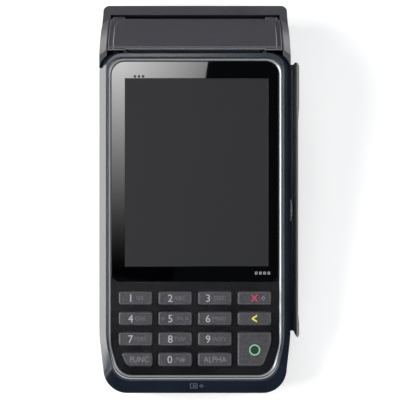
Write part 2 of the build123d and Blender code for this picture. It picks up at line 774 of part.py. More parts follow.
cover_pivot_u = bay_u[1] - cover_gap - cover_t / 2
cover_pivot_z = foot_h + cover_t / 2
with BuildPart() as battery_cover:
    with BuildSketch(side):
        with Locations((bay_u[0] + cover_gap, foot_h)):
            Rectangle(cover_pivot_u - bay_u[0] - cover_gap, cover_t,
                      align=(Align.MIN, Align.MIN))
        with Locations((cover_pivot_u, cover_pivot_z)):
            Circle(cover_t / 2)
    extrude(amount=bay_w / 2 - cover_gap, both=True)
    with BuildSketch(base.offset(foot_h)):
        with Locations((0, bay_u[0] + 7)):
            RectangleRounded(16, 5, 2)
    extrude(amount=0.6, mode=Mode.SUBTRACT)
battery_cover.part.label = "battery_cover"
export_step(battery_cover.part, "parts/battery_cover.step")

# ---------------------------------------------------------------- stripe reader
with BuildPart() as stripe_rail:
    rail_x = half + slot_w
    waist_x = rail_x + rail_w - rail_waist
    v0, v1 = rail_v
    with BuildSketch(face.offset(-rail_top)):
        with BuildLine():
            Polyline((rail_x, v0 + 2), (rail_x + 1, v0), (rail_x + rail_w - 0.5, v0),
                     (rail_x + rail_w, v0 + 1.2), (rail_x + rail_w, v0 + 5), (waist_x, v0 + 10),
                     (waist_x, v1 - 25), (rail_x + rail_w, v1 - 18), (rail_x + rail_w, v1 - 1.4),
                     (rail_x + rail_w - 0.7, v1), (rail_x, v1), close=True)
        make_face()
    extrude(amount=rail_top - slot_floor - rail_floor_t)
    rail_top_edges = stripe_rail.faces().sort_by(outward)[-1].edges()
    chamfer(rail_top_edges.filter_by(lambda edge: face.to_local_coords(edge.center()).X
                                     > waist_x - 0.1), rail_bevel)
    with BuildSketch(face.offset(-slot_floor)):
        with Locations((half, v0 + 2)):
            Rectangle(slot_w + 0.5, v1 - v0 - 2, align=(Align.MIN, Align.MIN))
    extrude(amount=-rail_floor_t)
stripe_rail.part.label = "stripe_rail"
export_step(stripe_rail.part, "parts/stripe_rail.step")

bump_r = ((head_l / 2) ** 2 + head_proud ** 2) / (2 * head_proud)
with BuildPart() as stripe_head:
    with BuildSketch(face.offset(-head_span[0])):
        with Locations((half + head_proud - bump_r, head_v)):
            Circle(bump_r)
        with Locations((half - wall - 0.7, head_v)):
            Rectangle(12, head_l, align=(Align.MIN, Align.CENTER), mode=Mode.INTERSECT)
        with Locations((half - wall - 0.4, head_v)):
            Rectangle(1.2, head_l + 3, align=(Align.MAX, Align.CENTER))
    extrude(amount=head_span[0] - head_span[1])
stripe_head.part.label = "stripe_head"
export_step(stripe_head.part, "parts/stripe_head.step")

# ---------------------------------------------------------------- printer
bucket_r = roll_d / 2 + bucket_gap
bucket_half = roll_w / 2 + roll_end_gap
frame_in = bucket_half + bucket_t + frame_gap     # inner face of each frame plate
frame_out = frame_in + frame_t
platen_pitch = gear_module * platen_teeth / 2
idler_pitch = gear_module * idler_teeth / 2
pinion_pitch = gear_module * pinion_teeth / 2
drive_dir = mesh_dir + 12 * 360 / idler_teeth     # idler to pinion, a whole tooth away
idler_reach = platen_pitch + idler_pitch + mesh_gap
idler_at = (platen_u - idler_reach * cos(radians(mesh_dir)),
            platen_z - idler_reach * sin(radians(mesh_dir)))
drive_reach = idler_pitch + pinion_pitch + mesh_gap
pinion_at = (idler_at[0] + drive_reach * cos(radians(drive_dir)),
             idler_at[1] + drive_reach * sin(radians(drive_dir)))
gear_x = -(frame_out + gear_side + gear_w)        # outer face of the gear train
head_u = platen_u - platen_r - head_gap_paper     # print head's working face
head_pivot = (head_u - 1.1, platen_z - 7.0)
head_pin_r = 0.9

with BuildPart() as paper_bucket:
    with BuildSketch(side):
        with Locations((roll_u, roll_z)):
            Circle(bucket_r + bucket_t)
            Circle(bucket_r, mode=Mode.SUBTRACT)
        with Locations((roll_u, roll_z + 4.2)):
            Rectangle(80, 60, align=(Align.CENTER, Align.MIN), mode=Mode.SUBTRACT)
    extrude(amount=bucket_half, both=True)
    for x in (-bucket_half - bucket_t, bucket_half):
        with BuildSketch(side.offset(x)):
            with Locations((roll_u, roll_z)):
                Circle(bucket_r + bucket_t)
            with Locations((roll_u, roll_z + 4.2)):
                Rectangle(80, 60, align=(Align.CENTER, Align.MIN), mode=Mode.SUBTRACT)
        extrude(amount=bucket_t)
paper_bucket.part.label = "paper_bucket"
export_step(paper_bucket.part, "parts/paper_bucket.step")

with BuildPart() as paper_core:
    with BuildSketch(side.offset(-roll_w / 2)):
        with Locations((roll_u, roll_z)):
            Circle(core_r)
            Circle(core_r - core_t, mode=Mode.SUBTRACT)
    extrude(amount=roll_w)
paper_core.part.label = "paper_core"
export_step(paper_core.part, "parts/paper_core.step")

with BuildPart() as paper_roll:
    with BuildSketch(side.offset(-roll_w / 2)):
        with Locations((roll_u, roll_z)):
            Circle(roll_d / 2)
            Circle(core_r, mode=Mode.SUBTRACT)
    extrude(amount=roll_w)
paper_roll.part.label = "paper_roll"
export_step(paper_roll.part, "parts/paper_roll.step")

with BuildPart() as printer_frame:
    foot_z = floor_z + 0.3
    plate = [(pinion_at[0] - 4, foot_z), (pinion_at[0] + 3, foot_z),
             (pinion_at[0] + 5, pinion_at[1] - 9), (platen_u - 4, platen_z - 15),
             (platen_u + 4.4, platen_z - 5), (platen_u + 4.4, platen_z + 0.4),
             (platen_u + 1.4, platen_z + 3.0), (platen_u - 5, platen_z + 3.4),
             (platen_u - 9.5, platen_z + 1.2), (pinion_at[0] - 6, pinion_at[1] + 3),
             (pinion_at[0] - 6, pinion_at[1] - 8)]
    ahead = (0.653, 0.757)                        # the platen's way out as the lid opens
    mouth = [(-0.5, 1), (9, 2.6), (9, -2.6), (-0.5, -1)]
    for x in (-frame_out, frame_in):
        with BuildSketch(side.offset(x)):
            with BuildLine():
                Polyline(*plate, close=True)
            make_face()
            with Locations((platen_u, platen_z)):
                Circle(shaft_r + 0.2, mode=Mode.SUBTRACT)
            with BuildLine():
                Polyline(*[(platen_u + s * ahead[0] - t * (shaft_r + 0.2) * ahead[1],
                            platen_z + s * ahead[1] + t * (shaft_r + 0.2) * ahead[0])
                           for s, t in mouth], close=True)
            make_face(mode=Mode.SUBTRACT)
            with Locations(head_pivot):
                Circle(head_pin_r + shaft_play, mode=Mode.SUBTRACT)
            if x < 0:
                with Locations(pinion_at):
                    Circle(1.6, mode=Mode.SUBTRACT)
        extrude(amount=frame_t)
    # tie plate behind the print head, and the idler's axle
    with BuildSketch(side):
        with Locations((head_pivot[0] - 4.6, platen_z - 9)):
            Rectangle(1.2, 12)
    extrude(amount=frame_in, both=True)
    with BuildSketch(side.offset(-frame_out)):
        with Locations(idler_at):
            Circle(shaft_r)
    extrude(amount=-gear_side - gear_w - 0.3)
    with BuildSketch(side.offset(-frame_out)):
        with Locations(idler_at):
            Circle(shaft_r + 1.0)
    extrude(amount=-gear_side + 0.15)
printer_frame.part.label = "printer_frame"
export_step(printer_frame.part, "parts/printer_frame.step")

with BuildPart() as print_head:
    with BuildSketch(side):
        with BuildLine():
            Polyline((head_u, platen_z - 5), (head_u, platen_z + 3.6),
                     (head_u - 1.0, platen_z + 4.2), (head_u - 2.0, platen_z + 4.2),
                     (head_u - 2.2, platen_z - 7.0), (head_u - 0.4, platen_z - 7.0), close=True)
        make_face()
    extrude(amount=platen_w / 2 - 0.3, both=True)
    with BuildSketch(side):
        with Locations(head_pivot):
            Circle(head_pin_r)
    extrude(amount=frame_out - 0.1, both=True)
print_head.part.label = "print_head"
export_step(print_head.part, "parts/print_head.step")

with BuildPart() as head_spring:
    spring_u = head_pivot[0] - 4.0
    with BuildSketch(side):
        with BuildLine():
            Polyline((spring_u, platen_z - 13), (spring_u + 0.3, platen_z - 13),
                     (spring_u + 0.3, platen_z - 8), (head_u - 2.9, platen_z - 5),
                     (head_u - 2.9, platen_z - 2), (head_u - 3.2, platen_z - 2),
                     (head_u - 3.2, platen_z - 4.9), (spring_u, platen_z - 7.9), close=True)
        make_face()
    extrude(amount=10, both=True)
head_spring.part.label = "head_spring"
export_step(head_spring.part, "parts/head_spring.step")

with BuildPart() as feed_motor:
    with BuildSketch(side.offset(-frame_in)):
        with Locations(pinion_at):
            Circle(motor_r)
    extrude(amount=motor_l)
    chamfer(feed_motor.edges().filter_by(GeomType.CIRCLE), 0.5)
feed_motor.part.label = "feed_motor"
export_step(feed_motor.part, "parts/feed_motor.step")

motor_shaft_r = 0.8
with BuildPart() as motor_pinion:
    with BuildSketch(side.offset(gear_x)):
        with Locations(pinion_at):
            add(gear_sketch(pinion_teeth, drive_dir + 180 + 180 / pinion_teeth))
    extrude(amount=gear_w)
    with BuildSketch(side.offset(gear_x)):
        with Locations(pinion_at):
            Circle(motor_shaft_r)
    extrude(amount=-gear_x - frame_in - 0.1)
motor_pinion.part.label = "motor_pinion"
export_step(motor_pinion.part, "parts/motor_pinion.step")

with BuildPart() as idler_gear:
    with BuildSketch(side.offset(gear_x)):
        with Locations(idler_at):
            add(gear_sketch(idler_teeth, mesh_dir))
            Circle(shaft_r + shaft_play, mode=Mode.SUBTRACT)
    extrude(amount=gear_w)
idler_gear.part.label = "idler_gear"
export_step(idler_gear.part, "parts/idler_gear.step")

with BuildPart() as platen_gear:
    with BuildSketch(side.offset(gear_x)):
        with Locations((platen_u, platen_z)):
            add(gear_sketch(platen_teeth, mesh_dir + 180 + 180 / platen_teeth))
            Circle(shaft_r, mode=Mode.SUBTRACT)
    extrude(amount=gear_w)
platen_gear.part.label = "platen_gear"
export_step(platen_gear.part, "parts/platen_gear.step")

with BuildPart() as platen_shaft:
    with BuildSketch(side.offset(gear_x)):
        with Locations((platen_u, platen_z)):
            Circle(shaft_r)
    extrude(amount=-gear_x + frame_out + 0.5)
platen_shaft.part.label = "platen_shaft"
export_step(platen_shaft.part, "parts/platen_shaft.step")

with BuildPart() as platen_roller:
    with BuildSketch(side.offset(-platen_w / 2)):
        with Locations((platen_u, platen_z)):
            Circle(platen_r)
            Circle(shaft_r, mode=Mode.SUBTRACT)
    extrude(amount=platen_w)
platen_roller.part.label = "platen_roller"
export_step(platen_roller.part, "parts/platen_roller.step")

# ---------------------------------------------------------------- lid
lid_half = ear_x - lid_gap
arm_t = 1.4
arm_x = frame_in - 0.5 - arm_t                    # inner face of each lid arm
lid_front_v = face_len + slot_gap
lid_end = 21.5                                    # lower end of the lid's curve, degrees
panel_end_v = lid_front_v + 15.2


def lid_band(top, bottom, end_degrees):
    """Side view of the lid's curve between two depths, from the slot down."""
    with BuildSketch() as band:
        with Locations((arc_u, arc_z)):
            Circle(lid_r - top)
            Circle(lid_r - bottom, mode=Mode.SUBTRACT)
        far = 2 * lid_r
        with BuildLine():
            Polyline((arc_u, arc_z),
                     (arc_u + far * cos(radians(end_degrees)), arc_z + far * sin(radians(end_degrees))),
                     (arc_u + far, arc_z + far), on_side(lid_front_v, far),
                     on_side(lid_front_v, -24), close=True)
        make_face(mode=Mode.INTERSECT)
    return band.sketch


def lid_plan(edge, end_v, corner_r):
    """Plan of the lid with rounded rear corners."""
    with BuildSketch() as plan:
        with Locations((0, lid_front_v - 10)):
            block = Rectangle(2 * edge, end_v - lid_front_v + 10, align=(Align.CENTER, Align.MIN))
        fillet(block.vertices().group_by(Axis.Y)[-1], corner_r)
    return plan.sketch


with BuildPart() as lid_panel:
    with BuildSketch(side):
        add(lid_band(0, lid_lift + 0.4, lid_end))
    extrude(amount=lid_half, both=True)
    with BuildSketch(face.offset(20)):
        add(lid_plan(lid_half - lid_rim, panel_end_v, lid_corner_r - 1))
    extrude(amount=-80, mode=Mode.INTERSECT)

with BuildPart() as lid_shell:
    with BuildSketch(side):
        add(lid_band(lid_lift, lid_lift + lid_t, lid_end))
        with BuildLine():
            Polyline(on_side(lid_front_v, -1.9), on_side(lid_front_v + 1.4, -2.1),
                     on_side(lid_front_v + 1.4, -4.0), on_side(lid_front_v, -4.0), close=True)
        make_face()
    extrude(amount=lid_half, both=True)
    for x in (-lid_half, lid_half - lid_t):
        with BuildSketch(side.offset(x)):
            add(lid_band(lid_lift, lid_lift + 6.5, lid_end + 6))
        extrude(amount=lid_t)
    with BuildSketch(face.offset(20)):
        add(lid_plan(lid_half, face_len + 60, 1.0))
    extrude(amount=-80, mode=Mode.INTERSECT)

with BuildPart() as printer_lid:
    add(lid_shell.part)
    add(lid_panel.part)
    # arms that carry the platen
    along = (platen_u - arc_u, platen_z - arc_z)
    reach = sqrt(along[0] ** 2 + along[1] ** 2)
    along = (along[0] / reach, along[1] / reach)
    grow = lid_r - lid_lift - lid_t + 0.3 - reach
    arm = [(platen_u + s * along[0] - t * along[1], platen_z + s * along[1] + t * along[0])
           for s, t in ((0, 3.3), (grow, 4.2), (grow, -4.2), (0, -3.3))]
    for x in (-arm_x - arm_t, arm_x):
        with BuildSketch(side.offset(x)):
            with BuildLine():
                Polyline(*arm, close=True)
            make_face()
            with Locations((platen_u, platen_z)):
                Circle(3.3)
                Circle(shaft_r + shaft_play + bush_t, mode=Mode.SUBTRACT)
        extrude(amount=arm_t)
    # knuckles round the hinge pin
    for x in (-knuckle_x[1], knuckle_x[0]):
        with BuildSketch(side.offset(x)):
            with Locations((hinge_u, hinge_z)):
                Circle(knuckle_r)
            with BuildLine():
                Polyline((hinge_u, hinge_z), lid_point(lid_end, lid_lift + 0.2),
                         lid_point(lid_end + 9, lid_lift + 0.6),
                         lid_point(lid_end + 9, lid_lift + 3), (hinge_u - 2.6, hinge_z + 1.4),
                         close=True)
            make_face()
        extrude(amount=knuckle_x[1] - knuckle_x[0])
    with BuildSketch(side):
        with Locations((hinge_u, hinge_z)):
            Circle(pin_r + shaft_play)
    extrude(amount=half, both=True, mode=Mode.SUBTRACT)
    # seat for the tear bar in the front edge
    with BuildSketch(face):
        with Locations((0, lid_front_v)):
            Rectangle(58.4, 0.9)
    extrude(amount=-10, mode=Mode.SUBTRACT)
printer_lid.part.label = "printer_lid"
export_step(printer_lid.part, "parts/printer_lid.step")

with BuildPart() as tear_bar:
    teeth = 38
    step = 58.0 / teeth
    edge = [(-29.0 + k * step / 2, -1.6 if k % 2 else -2.1) for k in range(2 * teeth + 1)]
    with BuildSketch(Plane(origin=face.from_local_coords((0, lid_front_v + 0.05, 0)),
                           x_dir=face.x_dir, z_dir=-face.y_dir)):
        with BuildLine():
            Polyline(*edge, (29.0, -3.9), (-29.0, -3.9), close=True)
        make_face()
    extrude(amount=-0.35)
tear_bar.part.label = "tear_bar"
export_step(tear_bar.part, "parts/tear_bar.step")

with BuildPart() as platen_bushes:
    for x, out in ((-arm_x - arm_t, -1), (arm_x, 1)):
        with BuildSketch(side.offset(x)):
            with Locations((platen_u, platen_z)):
                Circle(shaft_r + shaft_play + bush_t)
                Circle(shaft_r + shaft_play, mode=Mode.SUBTRACT)
        extrude(amount=arm_t)
        with BuildSketch(side.offset(out * (arm_x + arm_t))):
            with Locations((platen_u, platen_z)):
                Circle(shaft_r + bush_t + 0.6)
                Circle(shaft_r + shaft_play, mode=Mode.SUBTRACT)
        extrude(amount=out * 0.3)
platen_bushes.part.label = "platen_bushes"
export_step(platen_bushes.part, "parts/platen_bushes.step")

with BuildPart() as lid_hinge_pin:
    with BuildSketch(side):
        with Locations((hinge_u, hinge_z)):
            Circle(pin_r)
    extrude(amount=pin_reach, both=True)
lid_hinge_pin.part.label = "lid_hinge_pin"
export_step(lid_hinge_pin.part, "parts/lid_hinge_pin.step")

# ---------------------------------------------------------------- sound, charging, screws
with BuildPart() as speaker:
    with BuildSketch(base.offset(floor_z)):
        with Locations(speaker_at):
            Circle(speaker_r)
    extrude(amount=3.5)
    with BuildSketch(base.offset(floor_z)):
        with Locations(speaker_at):
            Circle(speaker_r - 1.5)
    extrude(amount=1.0, mode=Mode.SUBTRACT)
speaker.part.label = "speaker"
export_step(speaker.part, "parts/speaker.step")

with BuildPart() as charge_contacts:
    with BuildSketch(base.offset(foot_h + 0.1)):
        with Locations(*[(x, pogo_u) for x in pogo_x]):
            Circle(1.4)
    extrude(amount=3.6)
charge_contacts.part.label = "charge_contacts"
export_step(charge_contacts.part, "parts/charge_contacts.step")

with BuildPart() as usb_socket:
    with BuildSketch(side.offset(-half + flap_t + 0.2)):
        with Locations((port_u, port_z)):
            RectangleRounded(port_w, port_h, 1.1)
    extrude(amount=port_deep)
    with BuildSketch(side.offset(-half + flap_t + 0.2)):
        with Locations((port_u, port_z)):
            RectangleRounded(port_w - 0.7, port_h - 0.7, 0.9)
            Rectangle(port_w - 2.6, 0.7, mode=Mode.SUBTRACT)
    extrude(amount=port_deep - 1.5, mode=Mode.SUBTRACT)
usb_socket.part.label = "usb_socket"
export_step(usb_socket.part, "parts/usb_socket.step")

flap_foot = port_z - flap_h / 2
with BuildPart() as usb_cover:
    with BuildSketch(side.offset(-half)):
        with Locations((port_u, port_z + flap_t / 4)):
            Rectangle(flap_l, flap_h - flap_t / 2)
    extrude(amount=flap_t)
    with BuildSketch(Plane(origin=(mid_x, start_y + port_u - flap_l / 2, 0), x_dir=(1, 0, 0),
                           z_dir=(0, -1, 0))):
        with Locations((-half + flap_t / 2, flap_foot + flap_t / 2)):
            Circle(flap_t / 2)
    extrude(amount=-flap_l)
usb_cover.part.label = "usb_cover"
export_step(usb_cover.part, "parts/usb_cover.step")

with BuildPart() as housing_screws:
    with BuildSketch(face.offset(-house_seat)):
        with Locations(*house_screws):
            Circle(house_head_r)
    extrude(amount=-house_head_t)
    with BuildSketch(face.offset(-house_seat)):
        with Locations(*house_screws):
            Circle(house_screw_r - 0.02)
    extrude(amount=house_seat - ledge_foot - 2)
    with BuildSketch(face.offset(-house_seat - house_head_t)):
        with Locations(*house_screws):
            RegularPolygon(0.9, 6)
    extrude(amount=0.9, mode=Mode.SUBTRACT)
housing_screws.part.label = "housing_screws"
export_step(housing_screws.part, "parts/housing_screws.step")

with BuildPart() as board_screw_set:
    with BuildSketch(face.offset(-under_board)):
        with Locations(*board_screws):
            Circle(1.6)
    extrude(amount=-1.2)
    with BuildSketch(face.offset(-under_board)):
        with Locations(*board_screws):
            Circle(board_screw_r - 0.02)
    extrude(amount=under_board - ledge_foot - 0.5)
board_screw_set.part.label = "board_screws"
export_step(board_screw_set.part, "parts/board_screws.step")
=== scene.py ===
# %% [markdown]
# # A hand-held card payment terminal
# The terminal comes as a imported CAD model: sixty named nodes that already have their true size and
# place. This lesson dresses it. Each step names a real finish, or a small printed or moulded piece,
# says how a workshop makes it, and then builds it with nodes or with mesh operators.

# %% Load the frame
import math
import bmesh
import bpy
from mathutils import Matrix, Vector


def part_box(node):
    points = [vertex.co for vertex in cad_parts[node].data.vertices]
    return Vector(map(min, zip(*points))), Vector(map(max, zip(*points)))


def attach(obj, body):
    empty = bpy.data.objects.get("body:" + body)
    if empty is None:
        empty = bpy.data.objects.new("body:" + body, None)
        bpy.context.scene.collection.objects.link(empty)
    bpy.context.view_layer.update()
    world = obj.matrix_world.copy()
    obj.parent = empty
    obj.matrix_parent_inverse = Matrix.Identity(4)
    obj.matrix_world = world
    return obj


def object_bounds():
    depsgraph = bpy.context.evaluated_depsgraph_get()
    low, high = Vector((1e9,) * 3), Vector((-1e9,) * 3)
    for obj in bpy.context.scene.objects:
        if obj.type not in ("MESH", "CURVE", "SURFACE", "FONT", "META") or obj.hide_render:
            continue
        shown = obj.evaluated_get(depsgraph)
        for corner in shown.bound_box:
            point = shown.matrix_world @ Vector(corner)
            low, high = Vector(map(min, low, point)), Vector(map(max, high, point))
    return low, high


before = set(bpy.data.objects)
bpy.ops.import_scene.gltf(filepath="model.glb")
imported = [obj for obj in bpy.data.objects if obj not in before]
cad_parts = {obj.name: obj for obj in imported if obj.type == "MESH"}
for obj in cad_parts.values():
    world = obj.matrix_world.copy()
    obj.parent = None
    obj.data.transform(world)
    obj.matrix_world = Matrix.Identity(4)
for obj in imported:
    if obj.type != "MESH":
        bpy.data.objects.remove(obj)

cad_low, cad_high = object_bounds()
mm = 0.001
print("CAD box in mm:", [round(side / mm, 2) for side in cad_high - cad_low])

# %% [markdown]
# The keypad and the display lie on a face that slopes 13 degrees towards the user. Places on it are
# easier to give as across, up the slope and out of it, so three unit directions and one matrix turn
# such a place into the frame's own coordinates.

# %% Directions on the sloping face
slope = math.radians(13)
across = Vector((1, 0, 0))
up_face = Vector((0, math.cos(slope), math.sin(slope)))
out_of_face = Vector((0, -math.sin(slope), math.cos(slope)))


def on_face(x, v, w):
    """The point x across, v up and w out of the face."""
    return across * x + up_face * v + out_of_face * w


def face_matrix(x, v, w):
    """Places a shape drawn in x and y on the face."""
    turned = Matrix((across, up_face, out_of_face)).transposed().to_4x4()
    return Matrix.Translation(on_face(x, v, w)) @ turned


def face_span(node):
    """Lowest and highest (x, v, w) of a CAD node."""
    corners = [vertex.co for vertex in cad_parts[node].data.vertices]
    reach = [[co.dot(axis) for co in corners] for axis in (across, up_face, out_of_face)]
    return Vector(map(min, reach)), Vector(map(max, reach))


ring_low, ring_high = face_span("trim_ring")
face_w = ring_high.z
middle_x = (ring_low.x + ring_high.x) / 2
print("the trim ring spans", [round(side / mm, 1) for side in ring_high - ring_low], "mm")

# %% [markdown]
# ## The camera
# The terminal is looked at square to its sloping face from 70 cm away, through a long lens, so that
# the keys keep their shape and the paper lid behind them is seen at a slant.

# %% Camera square to the face
camera_data = bpy.data.cameras.new("camera")
camera_data.lens = 151.4
camera_data.sensor_width = 36.0
camera = bpy.data.objects.new("camera", camera_data)
bpy.context.scene.collection.objects.link(camera)
aim_x, aim_v = 0.0003, 0.0031
camera_far = 0.70
camera.matrix_world = face_matrix(aim_x, aim_v, face_w + camera_far)
bpy.context.scene.camera = camera
print("camera at", [round(c, 3) for c in camera.location])

# %% [markdown]
# ## Tools for materials
# A display colour is written as a hex code, which is not linear, while a shader adds light in linear
# numbers, so one function converts it. One more function adds a node, sets it and links it. A
# material is then a short list of what happens on the real surface.

# %% Colour and node helpers


def linear(code, share=1.0):
    """A hex colour such as "#2b2b2e", or a share of its light, as the linear colour a shader takes."""
    parts = [int(code[i:i + 2], 16) / 255 for i in (1, 3, 5)]
    lit = [p / 12.92 if p <= 0.04045 else ((p + 0.055) / 1.055) ** 2.4 for p in parts]
    return [share * part for part in lit] + [1.0]


def add_node(tree, kind, inputs=(), **settings):
    """Adds one node. inputs maps a socket's name or number to a value, a socket or another node."""
    node = tree.nodes.new(kind)
    for name, value in settings.items():
        setattr(node, name, value)
    for socket, value in dict(inputs).items():
        if isinstance(value, bpy.types.Node):
            value = value.outputs[0]
        if isinstance(value, bpy.types.NodeSocket):
            tree.links.new(value, node.inputs[socket])
        else:
            node.inputs[socket].default_value = value
    return node


def start_material(name, code, roughness, **sockets):
    """A material whose constants are set on its shader."""
    material = bpy.data.materials.new(name)
    material.use_nodes = True
    shader = material.node_tree.nodes["Principled BSDF"]
    shader.inputs["Base Color"].default_value = linear(code)
    shader.inputs["Roughness"].default_value = roughness
    for socket, value in sockets.items():
        shader.inputs[socket.replace("_", " ")].default_value = value
    material.diffuse_color = linear(code)
    return material, material.node_tree, shader


print("a mid grey, #808080, is", round(linear("#808080")[0], 3), "in linear light")

# %% [markdown]
# Moulded plastic is never one colour all over: the melt flows and the mould's grain scatters light.
# Every edge that a tool has left is a fraction of a millimetre round, and a paler line along it is a
# painted highlight. Small recipes draw those: an unevenness of a real size, a grain in relief, and a
# painted edge highlight. The edge comes from the Bevel node, which feels for corners within a radius
# and rounds the light over them.

# %% Recipes for unevenness, relief and edges


def unevenness(tree, size_mm, detail=2.0):
    """A pattern of blotches size_mm across on the real piece."""
    place = add_node(tree, "ShaderNodeTexCoord").outputs["Object"]
    return add_node(tree, "ShaderNodeTexNoise",
                    {"Vector": place, "Scale": 1 / (size_mm * mm), "Detail": detail}).outputs["Fac"]


def near_edge(tree, radius_mm, full=0.80):
    """The normal with edges rounded to that radius, and how near such an edge each point is."""
    rounded = add_node(tree, "ShaderNodeBevel", {"Radius": radius_mm * mm}, samples=6)
    flat = add_node(tree, "ShaderNodeNewGeometry").outputs["Normal"]
    match = add_node(tree, "ShaderNodeVectorMath", {0: rounded, 1: flat}, operation="DOT_PRODUCT")
    edge = add_node(tree, "ShaderNodeMapRange",
                    {"Value": match.outputs["Value"], "From Min": 1.0, "From Max": full})
    return rounded, edge


def edge_and_relief(tree, shader, radius_mm, height=None, depth_mm=0.0):
    """Rounds the light over edges, adds a relief, and returns how near an edge each point is."""
    normal, edge = near_edge(tree, radius_mm)
    if height is not None:
        normal = add_node(tree, "ShaderNodeBump", {"Height": height, "Distance": depth_mm * mm,
                                                   "Normal": normal})
    tree.links.new(normal.outputs[0], shader.inputs["Normal"])
    return edge


print("recipes for edges and relief ready")

# %% Recipe for moulded plastic


def moulded(name, code, pale, grain_mm, depth_mm, roughness, edge_mm=0.25, edge_highlight_share=0.6):
    """Grained plastic: two tones of code, a painted highlight at its edges, and a grain in relief."""
    material, tree, shader = start_material(name, code, roughness)
    grain = unevenness(tree, grain_mm, 3.0)
    edge = edge_and_relief(tree, shader, edge_mm, grain, depth_mm)
    mottle = add_node(tree, "ShaderNodeMapRange",
                      {"Value": grain, "From Min": 0.35, "From Max": 0.65, "To Max": 0.10})
    body = add_node(tree, "ShaderNodeMixRGB",
                    {"Fac": mottle, "Color1": linear(code), "Color2": linear(pale)})
    # painted highlight: the pale tone is mixed in near every edge, standing for light caught there
    painted_edge_highlight = add_node(tree, "ShaderNodeMath", {0: edge, 1: edge_highlight_share}, operation="MULTIPLY")
    tone = add_node(tree, "ShaderNodeMixRGB",
                    {"Fac": painted_edge_highlight, "Color1": body, "Color2": linear(pale)})
    patches = add_node(tree, "ShaderNodeMapRange",
                       {"Value": unevenness(tree, 14.0), "From Min": 0.3, "From Max": 0.7,
                        "To Min": roughness - 0.04, "To Max": roughness + 0.05})
    tree.links.new(tone.outputs[0], shader.inputs["Base Color"])
    tree.links.new(patches.outputs[0], shader.inputs["Roughness"])
    return material


print("recipe for moulded plastic ready")

# %% [markdown]
# ## Plastics of the casing
# The rear housing, the paper lid and the battery door are moulded in a blend of polycarbonate and
# ABS. The mould is spark-eroded, which gives a fine matt grain. Its grit is about 0.1 mm, too fine to
# see here, so it is drawn at 0.4 mm. The front frame is the same plastic under a blue-black paint
# with a satin gloss, which mirrors a lamp as a band with soft edges. Cards rub the rail beside the
# slot, so its mould is polished.

# %% Moulded casing plastics
# spark-eroded grain: a broad dull light and a faint paler line along each edge
spark_textured_abs = moulded("spark_textured_pc_abs", "#3c3c40", "#6a6a6f", 0.4, 0.010, 0.42)
# the same grain on the lid, with a strong painted highlight that turns its edges almost light grey
lid_abs = moulded("spark_textured_lid_abs", "#343339", "#a5a4ab", 0.4, 0.008, 0.40, 0.5, 1.0)
# black plastic from a mould without texture: near black and even
inner_abs = moulded("plain_black_abs", "#161618", "#2b2b2e", 0.8, 0.004, 0.45)
print("moulded casing plastics ready")

# %% Satin paint of the front frame


def navy_paint():
    """Satin paint sprayed on ABS: a faint orange peel, and a painted highlight along its edges."""
    material, tree, shader = start_material("navy_satin_paint_on_abs", "#141b26", 0.20)
    edge = edge_and_relief(tree, shader, 0.35, unevenness(tree, 1.2), 0.004)
    clouds = add_node(tree, "ShaderNodeMapRange",
                      {"Value": unevenness(tree, 20.0), "From Min": 0.3, "From Max": 0.7})
    coat = add_node(tree, "ShaderNodeMixRGB",
                    {"Fac": clouds, "Color1": linear("#121924"), "Color2": linear("#19222e")})
    # painted highlight: edges are mixed towards a pale blue grey
    painted_highlight = add_node(tree, "ShaderNodeMath", {0: edge, 1: 0.8}, operation="MULTIPLY")
    tone = add_node(tree, "ShaderNodeMixRGB",
                    {"Fac": painted_highlight, "Color1": coat, "Color2": linear("#7b8592")})
    tree.links.new(tone.outputs[0], shader.inputs["Base Color"])
    return material


navy_paint_on_abs = navy_paint()
print("paint ready")

# %% Polished plastic of the swipe rail


def rail_plastic(outer_x):
    """Polished black ABS, with a painted highlight: a pale band along its outer slope."""
    material, tree, shader = start_material("polished_rail_abs", "#0c0d0f", 0.26)
    edge_and_relief(tree, shader, 0.20, unevenness(tree, 2.0), 0.002)
    place = add_node(tree, "ShaderNodeTexCoord").outputs["Object"]
    parts = add_node(tree, "ShaderNodeSeparateXYZ", {"Vector": place})
    # painted highlight: the outer strip of the rail is coloured pale
    painted_highlight = add_node(tree, "ShaderNodeMapRange",
                      {"Value": parts.outputs["X"], "From Min": outer_x - 1.15 * mm,
                       "From Max": outer_x - 0.95 * mm})
    tone = add_node(tree, "ShaderNodeMixRGB",
                    {"Fac": painted_highlight, "Color1": linear("#0c0d0f"), "Color2": linear("#77787c")})
    tree.links.new(tone.outputs[0], shader.inputs["Base Color"])
    return material


rail_outer_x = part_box("stripe_rail")[1].x
rail_abs = rail_plastic(rail_outer_x)
# the pale band on the rail is a painted highlight
print("the rail is rubbed pale from x =", round(rail_outer_x / mm - 1.15, 2), "mm outwards")

# %% [markdown]
# The ring round the face is painted with a silver lacquer that holds fine aluminium flakes. The flakes
# lie almost flat, so the paint is bright where it faces a lamp and grey elsewhere: a half-metallic
# shader with a fine sparkle in its tone says that better than bare metal would. The edges on both
# sides of the ring are drawn darker, not paler: painted shade in the seams there.

# %% Silver lacquer of the trim ring


